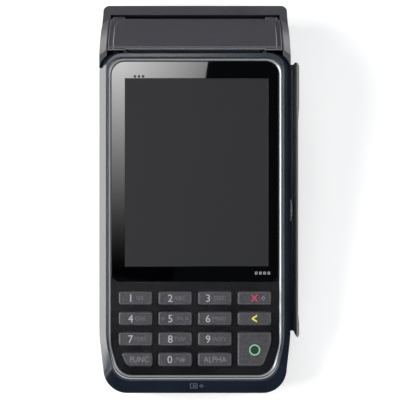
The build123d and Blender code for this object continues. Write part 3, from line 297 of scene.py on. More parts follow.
def silver_lacquer():
    """Aluminium-flake lacquer: partly metallic, with a speckle of 0.3 mm and painted shade in its
    seams.
    """
    material, tree, shader = start_material("aluminium_flake_lacquer", "#b2b7bc", 0.34, Metallic=0.4)
    flakes = unevenness(tree, 0.3)
    edge_and_relief(tree, shader, 0.08, flakes, 0.002)
    sparkle = add_node(tree, "ShaderNodeMapRange", {"Value": flakes, "From Min": 0.3, "From Max": 0.7})
    lacquer = add_node(tree, "ShaderNodeMixRGB",
                       {"Fac": sparkle, "Color1": linear("#a8adb2"), "Color2": linear("#c0c4c8")})
    _, edge = near_edge(tree, 0.45, 0.93)
    # painted shade: both edges of the ring are mixed towards near black, standing for the gaps beside
    # it
    seam_shade_mask = add_node(tree, "ShaderNodeMath", {0: edge, 1: 0.95}, operation="MULTIPLY")
    tone = add_node(tree, "ShaderNodeMixRGB",
                    {"Fac": seam_shade_mask, "Color1": lacquer, "Color2": linear("#15181d")})
    tree.links.new(tone.outputs[0], shader.inputs["Base Color"])
    return material


silver_ring_lacquer = silver_lacquer()
print("trim lacquer ready")

# %% [markdown]
# The display's cover is acrylic with a hard coat, printed black from behind, so its surface is a dark
# mirror with only the faintest haze. The touch window in it is different: its film is etched against
# glare, and the dark panel behind it shows as an even charcoal.

# %% Cover lens and touch window


def coated_acrylic():
    """Hard-coated acrylic over black print: a mirror with a slight haze from wiping."""
    material, tree, shader = start_material("hard_coated_black_acrylic", "#020203", 0.03, IOR=1.49)
    haze = add_node(tree, "ShaderNodeMapRange",
                    {"Value": unevenness(tree, 9.0, 4.0), "From Min": 0.3, "From Max": 0.8,
                     "To Min": 0.008, "To Max": 0.02})
    tree.links.new(haze.outputs[0], shader.inputs["Roughness"])
    edge_and_relief(tree, shader, 0.15)
    return material


def etched_window():
    """Anti-glare film over a dark display: charcoal and matt. Its etch is drawn 0.25 mm coarse."""
    material, tree, shader = start_material("etched_anti_glare_film", "#121216", 0.50, IOR=1.45)
    etch = unevenness(tree, 0.25)
    edge_and_relief(tree, shader, 0.05, etch, 0.003)
    speckle = add_node(tree, "ShaderNodeMapRange", {"Value": etch, "From Min": 0.3, "From Max": 0.7})
    tone = add_node(tree, "ShaderNodeMixRGB",
                    {"Fac": speckle, "Color1": linear("#0f0f13"), "Color2": linear("#151519")})
    tree.links.new(tone.outputs[0], shader.inputs["Base Color"])
    return material


lens_acrylic = coated_acrylic()
window_film = etched_window()
# semi-gloss moulding round the keys: almost black, with a soft sheen from a lamp
keypad_fascia = moulded("semi_gloss_keypad_fascia", "#040406", "#1a1a20", 1.5, 0.002, 0.26, 0.15, 0.4)
print("face materials ready")

# %% [markdown]
# ## Keys and rubber
# The keys are silicone rubber with a hard lacquer on top. The lacquer dries with a fine pebble, about
# 0.2 mm across and drawn here at 0.5 mm, and where a key's edge is chamfered it catches the light as a
# thin pale line. The feet, the port's flap and the membrane under the keys are plain black rubber,
# and the paper roller is rubber that was ground round.

# %% Keys and rubber parts
# lacquered silicone: charcoal tops with a pebbled sheen, and a pale line round each key
key_rubber = moulded("lacquered_silicone_key", "#242328", "#bbbac0", 0.5, 0.020, 0.46, 0.20, 1.0)
# rubber from a blasted mould: dull, with hardly any highlight
plain_rubber = moulded("plain_black_rubber", "#1a1a1b", "#2e2e30", 0.6, 0.010, 0.62, 0.2, 0.3)
# rubber ground round on a lathe: dull and a little greyer, because grinding opens its skin
roller_rubber = moulded("ground_roller_rubber", "#222224", "#39393b", 0.3, 0.012, 0.58, 0.15, 0.3)
print("rubber ready")

# %% [markdown]
# ## Metals
# Inside are a zinc-plated printer frame, tin-plated shields, bright steel pins and screws, a tear bar
# and a leaf spring of blued steel, gold-flashed contacts, a brass pinion and the lapped alloy of the
# stripe head. Rolled or turned metal has fine lines in one direction. Noise that is squeezed along
# one axis draws such lines, and it also varies how rough the metal is.

# %% Recipe for brushed metal


def brushed(name, code, roughness, along=(0.05, 1.0, 1.0), line_mm=0.15):
    """Metal with fine lines, long where along is small."""
    material, tree, shader = start_material(name, code, roughness, Metallic=1.0)
    place = add_node(tree, "ShaderNodeTexCoord").outputs["Object"]
    drawn = add_node(tree, "ShaderNodeMapping", {"Vector": place, "Scale": along})
    lines = add_node(tree, "ShaderNodeTexNoise",
                     {"Vector": drawn, "Scale": 1 / (line_mm * mm), "Detail": 2.0}).outputs["Fac"]
    edge_and_relief(tree, shader, 0.12, lines, 0.002)
    scratch = add_node(tree, "ShaderNodeMapRange",
                       {"Value": lines, "From Min": 0.3, "From Max": 0.7,
                        "To Min": roughness - 0.08, "To Max": roughness + 0.10})
    tree.links.new(scratch.outputs[0], shader.inputs["Roughness"])
    shade = add_node(tree, "ShaderNodeMapRange",
                     {"Value": lines, "From Min": 0.2, "From Max": 0.8, "To Max": 0.25})
    tone = add_node(tree, "ShaderNodeMixRGB",
                    {"Fac": shade, "Color1": linear(code), "Color2": linear(code, 0.75)})
    tree.links.new(tone.outputs[0], shader.inputs["Base Color"])
    return material


print("brushed metal ready")

# %% Plated, turned and lapped metals
# zinc from a plating bath: bluish grey, with soft rolled lines
zinc_plate = brushed("zinc_plated_steel", "#a9adb2", 0.34)
# steel straight from the lathe: bright, with fine lines
bright_steel = brushed("bright_turned_steel", "#b9bbbe", 0.22, (0.05, 1.0, 1.0), 0.1)
# tin on rolled sheet: warmer and softer than zinc, its lines across the sheet
tin_plate = brushed("tin_plated_sheet", "#b3b3ae", 0.30, (1.0, 0.05, 1.0))
# a flash of gold over nickel: yellow and smooth
gold_flash = brushed("gold_flashed_contact", "#d9b35c", 0.24, (1.0, 1.0, 0.1), 0.1)
# spring steel blued by heat: dark, with a cold tint
blued_steel = brushed("blued_spring_steel", "#3a3d44", 0.36, (0.05, 1.0, 1.0), 0.1)
# brass cut on a lathe: warm yellow, a little duller than gold
turned_brass = brushed("turned_brass", "#c09a4e", 0.28, (0.1, 1.0, 1.0), 0.1)
# alloy lapped flat so that a stripe slides on it: grey and nearly a mirror
head_alloy = brushed("lapped_head_alloy", "#9a9a98", 0.25, (0.1, 1.0, 1.0), 0.1)
print("metals ready")

# %% [markdown]
# ## Inside materials
# The idler gear is acetal in its natural cream, and the platen's gear and bushes are the black grade.
# The circuit board is glass fibre under green solder mask, with copper tracks that stand out as a
# slightly paler grid, and chips are black epoxy. The roll is heat-sensitive paper, wound in hundreds
# of layers that show as rings on its ends.

# %% Acetal, board, chips and films
# acetal without dye: cream, with the soft wax-like sheen of a slippery plastic
natural_acetal = moulded("natural_acetal", "#d8d2c2", "#ece8dc", 0.8, 0.003, 0.38, 0.12, 0.4)
# the same acetal dyed with carbon
black_acetal = moulded("black_acetal", "#232326", "#3c3c40", 0.8, 0.003, 0.38, 0.12, 0.4)
# epoxy pressed round a chip: dull black with a fine grit
epoxy_chip = moulded("moulded_epoxy", "#18181a", "#2c2c2e", 0.2, 0.006, 0.55, 0.12, 0.4)
# shrunk film round the cells: glossy, with shallow waves 5 mm across
battery_film = moulded("black_battery_film", "#1c1f26", "#343a45", 5.0, 0.020, 0.30, 0.4, 0.3)
# etched copper under amber film: brown-orange and fairly glossy
antenna_film = moulded("copper_on_polyimide", "#8a4f1c", "#b8752e", 1.0, 0.004, 0.32, 0.1, 0.3)
# laminated glass and film, switched off: a dark gloss
display_stack = moulded("dark_display_stack", "#141518", "#1e2024", 3.0, 0.001, 0.20, 0.1, 0.2)
# fired ceramic under glaze: cream with a wet gloss
glazed_alumina = moulded("glazed_alumina", "#d3ccba", "#e8e3d6", 1.0, 0.002, 0.18, 0.15, 0.3)
# recycled grey board wound into a tube and stained by its glue: brownish, dry and fibrous
wound_card = moulded("wound_grey_card", "#8c7152", "#b39776", 0.7, 0.015, 0.80, 0.1, 0.4)
print("inside plastics ready")

# %% Solder mask of the board


def solder_mask():
    """Green solder mask over copper: tracks 0.4 mm wide on a 2.5 mm grid."""
    material, tree, shader = start_material("green_solder_mask", "#0f4a2a", 0.28)
    place = add_node(tree, "ShaderNodeTexCoord").outputs["Object"]
    tracks = add_node(tree, "ShaderNodeTexBrick",
                      {"Vector": place, "Scale": 1.0, "Mortar Size": 0.2 * mm, "Mortar Smooth": 0.2,
                       "Brick Width": 5.0 * mm, "Row Height": 2.5 * mm,
                       "Color1": linear("#0c4024"), "Color2": linear("#0f4a2a"),
                       "Mortar": linear("#2a7a4c")})
    tree.links.new(tracks.outputs["Color"], shader.inputs["Base Color"])
    edge_and_relief(tree, shader, 0.1, tracks.outputs["Fac"], 0.02)
    return material


board_mask = solder_mask()
print("solder mask ready")

# %% Thermal paper
# a wave node turns by one radian in this distance, so its rings are drawn 2.2 mm apart: far coarser
# than real layers of paper, which are too thin to show
radian_of_winding = 0.35 * mm


def thermal_paper(centre, half_width):
    """Cool white paper on a roll: its ends show the winding as rings about the roll's axis."""
    material, tree, shader = start_material("thermal_paper", "#e9ebee", 0.55)
    place = add_node(tree, "ShaderNodeTexCoord").outputs["Object"]
    moved = add_node(tree, "ShaderNodeVectorMath", {0: place, 1: centre}, operation="SUBTRACT")
    parts = add_node(tree, "ShaderNodeSeparateXYZ", {"Vector": moved})
    flat = add_node(tree, "ShaderNodeCombineXYZ", {"Y": parts.outputs["Y"], "Z": parts.outputs["Z"]})
    # the node multiplies a distance by 20 and by its scale
    rings = add_node(tree, "ShaderNodeTexWave",
                     {"Vector": flat, "Scale": 1 / (20 * radian_of_winding), "Distortion": 0.6},
                     wave_type="RINGS", rings_direction="SPHERICAL")
    off_middle = add_node(tree, "ShaderNodeMath", {0: parts.outputs["X"]}, operation="ABSOLUTE")
    on_end = add_node(tree, "ShaderNodeMapRange",
                      {"Value": off_middle, "From Min": half_width - 0.1 * mm,
                       "From Max": half_width - 0.02 * mm})
    shown = add_node(tree, "ShaderNodeMath", {0: rings.outputs["Fac"], 1: on_end},
                     operation="MULTIPLY")
    faded = add_node(tree, "ShaderNodeMath", {0: shown, 1: 0.6}, operation="MULTIPLY")
    tone = add_node(tree, "ShaderNodeMixRGB",
                    {"Fac": faded, "Color1": linear("#eceef0"), "Color2": linear("#b9bcc0")})
    tree.links.new(tone.outputs[0], shader.inputs["Base Color"])
    edge_and_relief(tree, shader, 0.1, unevenness(tree, 0.5), 0.004)
    return material


roll_low, roll_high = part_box("paper_roll")
roll_centre = (roll_low + roll_high) / 2
paper = thermal_paper(roll_centre, (roll_high.x - roll_low.x) / 2)
print("paper roll is", round((roll_high.z - roll_low.z) / mm, 1), "mm across")

# %% [markdown]
# ## Dress the CAD nodes
# Each node takes one material. The shapes are right as they are, so nothing is remodelled: the
# material is put into the object's slots and the mesh is left alone.

# %% Give every CAD node its material
key_labels = ["1", "2", "3", "cancel", "4", "5", "6", "clear", "7", "8", "9", "enter",
              "func", "0", "alpha"]
finishes = {
    navy_paint_on_abs: ["front_housing"],
    spark_textured_abs: ["rear_housing", "battery_cover"],
    rail_abs: ["stripe_rail"],
    lid_abs: ["printer_lid"],
    inner_abs: ["paper_bucket", "chip_reader", "speaker"],
    silver_ring_lacquer: ["trim_ring"],
    lens_acrylic: ["display_lens"],
    window_film: ["touch_panel"],
    keypad_fascia: ["keypad_panel"],
    key_rubber: ["key_" + label for label in key_labels],
    plain_rubber: ["keypad_membrane", "feet", "usb_cover"],
    roller_rubber: ["platen_roller"],
    zinc_plate: ["printer_frame", "lcd_frame", "feed_motor"],
    bright_steel: ["lid_hinge_pin", "platen_shaft", "housing_screws", "board_screws"],
    blued_steel: ["tear_bar", "head_spring"],
    tin_plate: ["security_shield", "card_holders", "coin_cell", "usb_socket"],
    gold_flash: ["chip_contacts", "battery_contacts", "charge_contacts"],
    turned_brass: ["motor_pinion"],
    head_alloy: ["stripe_head"],
    natural_acetal: ["idler_gear"],
    black_acetal: ["platen_gear", "platen_bushes"],
    epoxy_chip: ["board_chips"],
    board_mask: ["main_board"],
    battery_film: ["battery_pack"],
    antenna_film: ["contactless_antenna"],
    display_stack: ["lcd_panel"],
    glazed_alumina: ["print_head"],
    paper: ["paper_roll"],
    wound_card: ["paper_core"],
}
for material, nodes in finishes.items():
    for node in nodes:
        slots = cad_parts[node].data.materials
        slots.clear()
        slots.append(material)
dressed = {node for nodes in finishes.values() for node in nodes}
print("dressed", len(dressed), "nodes, left out:", sorted(set(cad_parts) - dressed))

# %% [markdown]
# ## Printed legends
# Key legends are screen-printed: a film of ink a few hundredths of a millimetre thick, with crisp
# outlines. Flat text would fight with the key's surface for the same plane, so the text is given
# that thickness, made a mesh, and only then laid on its key. Digits are bright, and the small letters
# and words are dimmer, because they are printed in a grey ink.

# %% Inks
ink_film = 0.03 * mm


def ink(name, code, glow=0.0):
    """Screen ink: dry, slightly uneven, and given a little glow of its own, which is painted light."""
    # the glow is painted light: the ink shines a little by itself
    material, tree, shader = start_material(name, code, 0.55, Emission_Color=linear(code),
                                            Emission_Strength=glow)
    edge_and_relief(tree, shader, 0.02, unevenness(tree, 0.3), 0.004)
    cover = add_node(tree, "ShaderNodeMapRange",
                     {"Value": unevenness(tree, 0.4), "From Min": 0.3, "From Max": 0.7})
    tone = add_node(tree, "ShaderNodeMixRGB",
                    {"Fac": cover, "Color1": linear(code), "Color2": linear(code, 0.86)})
    tree.links.new(tone.outputs[0], shader.inputs["Base Color"])
    return material


# dry ink in three greys: digits stand out, words less, and small letters least
white_ink = ink("white_key_ink", "#b2b2b6")
grey_ink = ink("grey_key_ink", "#7d7d83")
dim_ink = ink("dim_grey_key_ink", "#6a6a70")
# translucent inks on the command keys: a painted glow, with no lamp behind them, lifts their colour a
# little
red_ink = ink("red_key_ink", "#b8344a", 0.15)
yellow_ink = ink("yellow_key_ink", "#d6cf4a", 0.15)
pale_green_ink = ink("pale_green_key_ink", "#86bf9c", 0.10)
# opaque green inside the ring: nearly black
dark_green_ink = ink("dark_green_key_ink", "#06240f")
# pad-printed ink on the painted slope: a soft blue grey that stays in the background
bevel_ink = ink("blue_grey_pad_ink", "#566071")
# black ink on the lens: dull where the lens round it is a mirror
mark_ink = ink("black_lens_ink", "#1c1c20")
print("inks are", round(ink_film / mm, 3), "mm thick")

# %% Turn shapes and text into pieces


def finished(shape, name):
    """Turns a bmesh into a mesh and frees it."""
    mesh = bpy.data.meshes.new(name)
    shape.to_mesh(mesh)
    shape.free()
    return mesh


def add_piece(name, mesh, material, body):
    """Adds a finished mesh to the scene, riding on its body."""
    piece = bpy.data.objects.new(name, mesh)
    bpy.context.scene.collection.objects.link(piece)
    mesh.materials.clear()
    mesh.materials.append(material)
    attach(piece, body)
    return piece


def text_mesh(words, height, bold=0.0, width=0.0):
    """Words as a closed mesh about its middle, as high as height and, if width is given, as wide."""
    drawn = bpy.data.curves.new("words", "FONT")
    drawn.body = words
    drawn.size = height
    drawn.extrude = ink_film / 2
    drawn.offset = bold
    drawn.resolution_u = 3
    holder = bpy.data.objects.new("words", drawn)
    bpy.context.scene.collection.objects.link(holder)
    bpy.context.view_layer.update()
    mesh = bpy.data.meshes.new_from_object(holder)
    bpy.data.objects.remove(holder)
    low = Vector(map(min, zip(*(vertex.co for vertex in mesh.vertices))))
    high = Vector(map(max, zip(*(vertex.co for vertex in mesh.vertices))))
    tall = height / (high.y - low.y)
    wide = width / (high.x - low.x) if width else tall
    mesh.transform(Matrix.Diagonal((wide, tall, 1, 1)) @ Matrix.Translation(-(low + high) / 2))
    return mesh


print("tools for printed pieces ready")

# %% Lay a drawing on a node
drop_height = 200 * mm
# a film of air, so that two surfaces never share a plane
air_gap = 0.004 * mm


def lay_down(mesh, node, x, v):
    """Lays a drawing on the node's surface, found by dropping a ray on it square to the face."""
    start = on_face(x, v, face_w + drop_height)
    found, point, normal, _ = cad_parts[node].ray_cast(start, -out_of_face)
    assert found, "nothing of " + node + " lies there"
    side = (across - normal * across.dot(normal)).normalized()
    turned = Matrix((side, normal.cross(side), normal)).transposed().to_4x4()
    mesh.transform(Matrix.Translation(point + normal * (ink_film / 2 + air_gap)) @ turned)
    return mesh


def lay_on_key(name, mesh, material, label, x_mm, v_mm=0.0):
    """Lays a drawing on a key's top, offset from the key's middle."""
    low, high = face_span("key_" + label)
    middle = (low + high) / 2
    lay_down(mesh, "key_" + label, middle.x + x_mm * mm, middle.y + v_mm * mm)
    return add_piece(name, mesh, material, "button_" + label)


print("a drawing floats", round(air_gap / mm, 4), "mm above its node")

# %% Digits, letters and words
digit_high, letter_high, symbol_high, word_high = 3.1 * mm, 1.75 * mm, 2.2 * mm, 2.4 * mm
letters = {"1": "QZ", "2": "ABC", "3": "DEF", "4": "GHI", "5": "JKL", "6": "MNO",
           "7": "PQRS", "8": "TUV", "9": "WXY"}
for digit, group in letters.items():
    digit_x = -2.8 if digit in "369" else -2.0
    lay_on_key("digit_" + digit, text_mesh(digit, digit_high), white_ink, digit, digit_x)
    lay_on_key("letters_" + digit, text_mesh(group, letter_high), dim_ink, digit, 1.9)
lay_on_key("digit_0", text_mesh("0", digit_high), white_ink, "0", -2.2)
for name, words, height, width, label, x_mm, v_mm in (
        ("symbols_0", ",*#", symbol_high, 4.4 * mm, "0", 1.9, -0.1),
        ("word_function", "FUNC", word_high, 7.9 * mm, "func", 0.9, 0.0),
        ("word_letters", "ALPHA", word_high, 9.5 * mm, "alpha", 0.1, 0.0)):
    lay_on_key(name, text_mesh(words, height, width=width), grey_ink, label, x_mm, v_mm)
print("laid the legends of", len(letters) + 3, "keys")

# %% [markdown]
# The three command keys carry signs that read without words: a red cross, a yellow arrow and a green
# ring. The ring and the little diamond beside the cross are flat outlines: an edge loop is drawn, a
# second one is inset from it, the middle is taken out and what is left is given its thickness.

# %% Discs and outlines


def outline_mesh(corners, radius, stroke, turn=0.0, stretch_x=1.0):
    """A closed outline with that many corners: radius outside, stroke wide and an ink film thick."""
    shape = bmesh.new()
    bmesh.ops.create_circle(shape, cap_ends=True, segments=corners, radius=radius)
    bmesh.ops.rotate(shape, verts=shape.verts, matrix=Matrix.Rotation(turn, 3, "Z"))
    bmesh.ops.scale(shape, verts=shape.verts, vec=(stretch_x, 1, 1))
    middle = shape.faces[:]
    bmesh.ops.inset_region(shape, faces=middle, thickness=stroke, use_boundary=True,
                           use_even_offset=True)
    bmesh.ops.delete(shape, geom=middle, context="FACES_ONLY")
    return thicken(shape)


def thicken(shape):
    """Gives a flat shape an ink film's thickness and returns it as a mesh."""
    pulled = bmesh.ops.extrude_face_region(shape, geom=shape.faces[:])["geom"]
    moved = [item for item in pulled if isinstance(item, bmesh.types.BMVert)]
    bmesh.ops.translate(shape, verts=moved, vec=(0, 0, ink_film))
    bmesh.ops.translate(shape, verts=shape.verts, vec=(0, 0, -ink_film / 2))
    bmesh.ops.recalc_face_normals(shape, faces=shape.faces)
    return finished(shape, "sign")


def disc_mesh(radius):
    """A filled disc, an ink film thick."""
    shape = bmesh.new()
    bmesh.ops.create_circle(shape, cap_ends=True, segments=40, radius=radius)
    return thicken(shape)


print("outline tools ready")

# %% Signs on the command keys
bold = 0.06 * mm
cross = text_mesh("X", 2.9 * mm, bold)
diamond = outline_mesh(4, radius=0.95 * mm, stroke=0.32 * mm)
arrow = text_mesh("<", 3.3 * mm, bold, width=2.2 * mm)
ring = outline_mesh(48, radius=2.3 * mm, stroke=0.52 * mm)
lay_on_key("sign_cross", cross, red_ink, "cancel", 0.0)
lay_on_key("sign_diamond", diamond, grey_ink, "cancel", 3.7)
lay_on_key("sign_arrow", arrow, yellow_ink, "clear", 0.0)
for name, mesh, colour in (("sign_ring", ring, pale_green_ink),
                           ("sign_ring_fill", disc_mesh(1.75 * mm), dark_green_ink)):
    lay_on_key(name, mesh, colour, "enter", 0.1, -0.3)
print("signs laid, the ring has", len(ring.polygons), "faces")

# %% [markdown]
# ## Marks on the face
# Below the keypad the painted frame carries a small pictogram of a card, pad-printed where the chip
# slot is. The slope there leans forward from the face, so the drawing leans with it. Where a maker
# would print a name on the display's cover, this one has three plain dots and four small outlines.

# %% Card pictogram on the front slope
quarter = math.pi / 4
sign_v = face_span("front_housing")[0].y + 3.3 * mm
for name, radius_mm, stroke_mm, turn, wider, x_mm in (
        ("sign_card", 1.9, 0.30, quarter, 1.15, -0.5),
        ("sign_card_chip", 0.75, 0.25, quarter, 1.0, -0.3),
        ("sign_slot", 0.95, 0.30, 0.0, 1.0, 2.7)):
    mesh = outline_mesh(4, radius_mm * mm, stroke_mm * mm, turn, wider)
    lay_down(mesh, "front_housing", middle_x + x_mm * mm, sign_v)
    add_piece(name, mesh, bevel_ink, "terminal")
print("pictogram laid", round(sign_v / mm, 1), "mm up the face")

# %% Plain marks on the cover lens
lens_low, lens_high = face_span("display_lens")


def lay_on_lens(name, mesh, material, x, v):
    """Lays a drawing on the cover lens."""
    return add_piece(name, lay_down(mesh, "display_lens", x, v), material, "terminal")


dot_count, dot_radius, dot_pitch = 3, 0.55 * mm, 1.7 * mm
dot_x, dot_v = lens_low.x + 10.0 * mm, lens_high.y - 6.4 * mm
for place in range(dot_count):
    lay_on_lens(f"mark_dot_{place}", disc_mesh(dot_radius), mark_ink,
                dot_x + place * dot_pitch, dot_v)
bar_count, bar_radius, bar_stroke, bar_pitch = 4, 0.75 * mm, 0.22 * mm, 1.75 * mm
bar_x, bar_v = lens_high.x - 9.5 * mm, lens_low.y + 3.6 * mm
for place in range(bar_count):
    lay_on_lens(f"mark_bar_{place}", outline_mesh(4, bar_radius, bar_stroke, quarter, 0.9),
                white_ink, bar_x + place * bar_pitch, bar_v)
print("laid", dot_count + bar_count, "marks")

# %% [markdown]
# ## Painted shade beside the ring
# A thin black line along both of the ring's edges is painted shade that stands for the gaps there.
# The line follows the ring exactly, so it is made from the ring's own top face: the face is copied,
# inset by the line's width, its middle is taken out, and the two strips left are given a thickness.

# %% Painted seam shade along the ring


def seam_shade_mesh(line_width):
    """Two strips along the edges of the ring's top face."""
    shape = bmesh.new()
    shape.from_mesh(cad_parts["trim_ring"].data)
    level = face_w - 0.05 * mm
    hidden = [face for face in shape.faces if face.normal.dot(out_of_face) < 0.99
              or face.calc_center_median().dot(out_of_face) < level]
    bmesh.ops.delete(shape, geom=hidden, context="FACES")
    bmesh.ops.remove_doubles(shape, verts=shape.verts, dist=0.001 * mm)
    top = shape.faces[:]
    bmesh.ops.inset_region(shape, faces=top, thickness=line_width, use_boundary=True,
                           use_even_offset=True)
    bmesh.ops.delete(shape, geom=top, context="FACES")
    pulled = bmesh.ops.extrude_face_region(shape, geom=shape.faces[:])["geom"]
    raised = [item for item in pulled if isinstance(item, bmesh.types.BMVert)]
    bmesh.ops.translate(shape, verts=raised, vec=out_of_face * ink_film)
    bmesh.ops.recalc_face_normals(shape, faces=shape.faces)
    return finished(shape, "seam_shade")


# painted shade: black and dull, so that it reads as a gap
painted_seam_shade = moulded("painted_seam_shade", "#050506", "#121214", 0.8, 0.002, 0.60, 0.05, 0.3)
seam_shade = add_piece("ring_seam_shade", seam_shade_mesh(0.33 * mm), painted_seam_shade, "terminal")
print("sealant strips have", len(seam_shade.data.polygons), "faces")

# %% [markdown]
# ## Underneath
# The battery door carries a rating label, a plastic film with rows of grey bars in place of print, and
# a few raised ribs at its free end so that a thumb can pull it. A label is a thin plate with rounded
# corners: a cube is scaled, its four upright edges are bevelled, and it is laid against the door. The
# ribs are narrow cubes with their edges softened.

# %% Rounded blocks under the door


def block(name, size, corner, upright_only, centre, material):
    """A block of that size with rounded edges, riding on the battery door."""
    shape = bmesh.new()
    bmesh.ops.create_cube(shape, size=1.0)
    bmesh.ops.scale(shape, verts=shape.verts, vec=size)
    edges = [edge for edge in shape.edges
             if not upright_only or abs(edge.verts[0].co.z - edge.verts[1].co.z) > size[2] / 2]
    bmesh.ops.bevel(shape, geom=edges, offset=corner, offset_type="OFFSET", segments=4, profile=0.5,
                    affect="EDGES", material=-1)
    bmesh.ops.translate(shape, verts=shape.verts, vec=centre)
    bmesh.ops.recalc_face_normals(shape, faces=shape.faces)
    return add_piece(name, finished(shape, name), material, "battery_door")


door_low, door_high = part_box("battery_cover")
door_middle = (door_low + door_high) / 2
print("the door is", round((door_high.y - door_low.y) / mm, 1), "mm long")

# %% Rating label


def printed_label():
    """Matt white film with rows of grey bars, 1 mm high and 2.6 mm apart."""
    material, tree, shader = start_material("printed_label_film", "#c9cacc", 0.45)
    place = add_node(tree, "ShaderNodeTexCoord").outputs["Object"]
    rows = add_node(tree, "ShaderNodeTexBrick",
                    {"Vector": place, "Scale": 1.0, "Mortar Size": 0.8 * mm, "Mortar Smooth": 0.05,
                     "Brick Width": 9.0 * mm, "Row Height": 2.6 * mm,
                     "Color1": linear("#5a5c60"), "Color2": linear("#6f7175"),
                     "Mortar": linear("#cfd0d2")})
    tree.links.new(rows.outputs["Color"], shader.inputs["Base Color"])
    edge_and_relief(tree, shader, 0.05, unevenness(tree, 0.6), 0.003)
    return material


label_size = Vector((38 * mm, 20 * mm, 0.10 * mm))
label_centre = Vector((door_middle.x, door_middle.y + 6 * mm, door_low.z - label_size.z / 2))
block("rating_label", label_size, 1.5 * mm, True, label_centre, printed_label())
print("label is", [round(side / mm, 2) for side in label_size], "mm")

# %% Thumb ribs
rib_count, rib_pitch, first_rib = 5, 1.6 * mm, 4.0 * mm
rib_size, rib_corner = (16 * mm, 0.8 * mm, 0.30 * mm), 0.12 * mm
rib_z = door_low.z - 0.10 * mm
for row in range(rib_count):
    rib_centre = (door_middle.x, door_low.y + first_rib + rib_pitch * row, rib_z)
    block(f"thumb_rib_{row}", rib_size, rib_corner, False, rib_centre, spark_textured_abs)
print(rib_count, "ribs under the door")

# %% [markdown]
# ## The studio
# The terminal stands on a pale table under soft boxes at its left and right, with two weaker ones in
# front and behind that nothing mirrors. The table is a light table: it glows a little itself, which
# keeps it white under the terminal.

# %% Pale table


def flat_panel(name, width, height, material, place):
    """A flat panel in the scene's stage."""
    shape = bmesh.new()
    bmesh.ops.create_grid(shape, x_segments=1, y_segments=1, size=0.5)
    bmesh.ops.scale(shape, verts=shape.verts, vec=(width, height, 1))
    bmesh.ops.transform(shape, verts=shape.verts, matrix=place)
    mesh = finished(shape, name)
    mesh.materials.append(material)
    panel = bpy.data.objects.new(name, mesh)
    bpy.context.scene.collection.objects.link(panel)
    return panel


# opal acrylic over lamps: matt and white, with a faint even glow
table_paint, _, _ = start_material("white_table", "#f2f2f2", 0.8,
                                   Emission_Color=linear("#ffffff"), Emission_Strength=0.35)
table_side = 4.0
table = flat_panel("table", table_side, table_side, table_paint,
                   Matrix.Translation((0, 0, cad_low.z)))
table.visible_glossy = False
print("table at z =", round(cad_low.z / mm, 3), "mm")

# %% Soft boxes


def soft_box(name, x, v, w, size, watts, mirrored=True):
    """A square lamp that looks at the middle of the face, and that glossy parts show if mirrored."""
    lamp = bpy.data.lights.new(name, "AREA")
    lamp.size = size
    lamp.energy = watts
    holder = bpy.data.objects.new(name, lamp)
    holder.location = on_face(x, v, w)
    holder.rotation_mode = "QUATERNION"
    look = on_face(middle_x, 0, face_w) - holder.location
    holder.rotation_quaternion = look.to_track_quat("-Z", "Y")
    holder.visible_camera = False
    holder.visible_glossy = mirrored
    bpy.context.scene.collection.objects.link(holder)
    return holder


soft_box("left_box", -0.75, 0.05, 0.75, 0.6, 9.5)
soft_box("right_box", 0.80, 0.0, 0.70, 0.6, 5.5)
soft_box("front_box", 0.0, -0.70, 0.80, 0.5, 2.2, False)
soft_box("back_box", 0.0, 0.75, 0.75, 0.5, 2.0, False)
world = bpy.data.worlds.new("dim_room")
world.use_nodes = True
world.node_tree.nodes["Background"].inputs["Color"].default_value = (0.04, 0.045, 0.055, 1.0)
world.node_tree.nodes["Background"].inputs["Strength"].default_value = 1.0
bpy.context.scene.world = world
bpy.context.scene.view_settings.view_transform = "Standard"

# %% [markdown]
# Dark glossy plastic shows what it mirrors, so its look is made with cards: bright panels that only
# reflections see. One, high above, puts a slanting sheen on the lens. One, low on the left, lights
# the left slope of the frame. Of five smaller ones, two light the frame's left and right edges, one
# lights the keys from the left, and two, low behind, light the shoulders beside the lid.

# %% Glow of a card


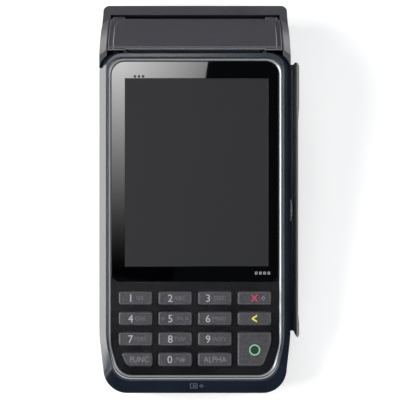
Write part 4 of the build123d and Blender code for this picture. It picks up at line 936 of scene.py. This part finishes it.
def card_material(name, strength, fades=()):
    """A glowing card. A fade is a direction, two places along it and the share of glow at each."""
    material = bpy.data.materials.new(name)
    material.use_nodes = True
    tree = material.node_tree
    tree.nodes.clear()
    place = add_node(tree, "ShaderNodeTexCoord").outputs["Object"]
    power = strength
    for direction, first, last, at_first, at_last in fades:
        along = add_node(tree, "ShaderNodeVectorMath", {0: place, 1: direction},
                         operation="DOT_PRODUCT").outputs["Value"]
        share = add_node(tree, "ShaderNodeMapRange",
                         {"Value": along, "From Min": first, "From Max": last,
                          "To Min": at_first, "To Max": at_last})
        power = add_node(tree, "ShaderNodeMath", {0: share, 1: power}, operation="MULTIPLY")
    glow = add_node(tree, "ShaderNodeEmission", {"Color": linear("#ffffff"), "Strength": power})
    add_node(tree, "ShaderNodeOutputMaterial", {"Surface": glow})
    # a card is only mirrored, so no light is aimed from it
    material.cycles.emission_sampling = "NONE"
    return material


def reflection_card(name, width, height, material, place):
    """A card that only reflections see."""
    card = flat_panel(name, width, height, material, place)
    card.visible_camera = card.visible_diffuse = card.visible_shadow = False
    card.visible_transmission = False
    return card


print("card tools ready")

# %% Reflection cards


def looking_in(x, v, w):
    """Places a panel there, turned to the middle of the face."""
    spot = on_face(x, v, w)
    look = on_face(middle_x, 0, face_w) - spot
    return Matrix.Translation(spot) @ look.to_track_quat("Z", "Y").to_matrix().to_4x4()


# the sheen dies down the lens as a square, so its fade counts twice, and it dies to the right too
sheen_x, sheen_v, sheen_far = -0.070, 0.085, 1.40
sheen_wide, sheen_long, sheen_turn = 0.130, 0.36, math.radians(-9)
down = (up_face, -0.090, 0.171, 0.0, 1.0)
rightwards = (across, -0.097, 0.008, 1.0, 0.38)
sheen = card_material("sheen_card", 14.3, (down, down, rightwards))
reflection_card("lens_sheen", sheen_wide, sheen_long, sheen,
                face_matrix(sheen_x, sheen_v, face_w + sheen_far)
                @ Matrix.Rotation(sheen_turn, 4, "Z"))
card_wide, card_high = 0.40, 0.30
for name, x, v, w, strength in (("left_slope_glow", -0.45, 0.02, -0.17, 5.5),
                                ("left_edge_glow", -0.50, 0.02, 0.34, 4.5),
                                ("right_edge_glow", 0.50, 0.02, 0.34, 3.5),
                                ("left_key_glow", -0.50, -0.06, 0.10, 6.0),
                                ("left_shoulder_glow", -0.36, 0.50, -0.16, 5.5),
                                ("right_shoulder_glow", 0.36, 0.50, -0.16, 5.0)):
    reflection_card(name, card_wide, card_high, card_material(name, strength),
                    looking_in(x, v, face_w + w))
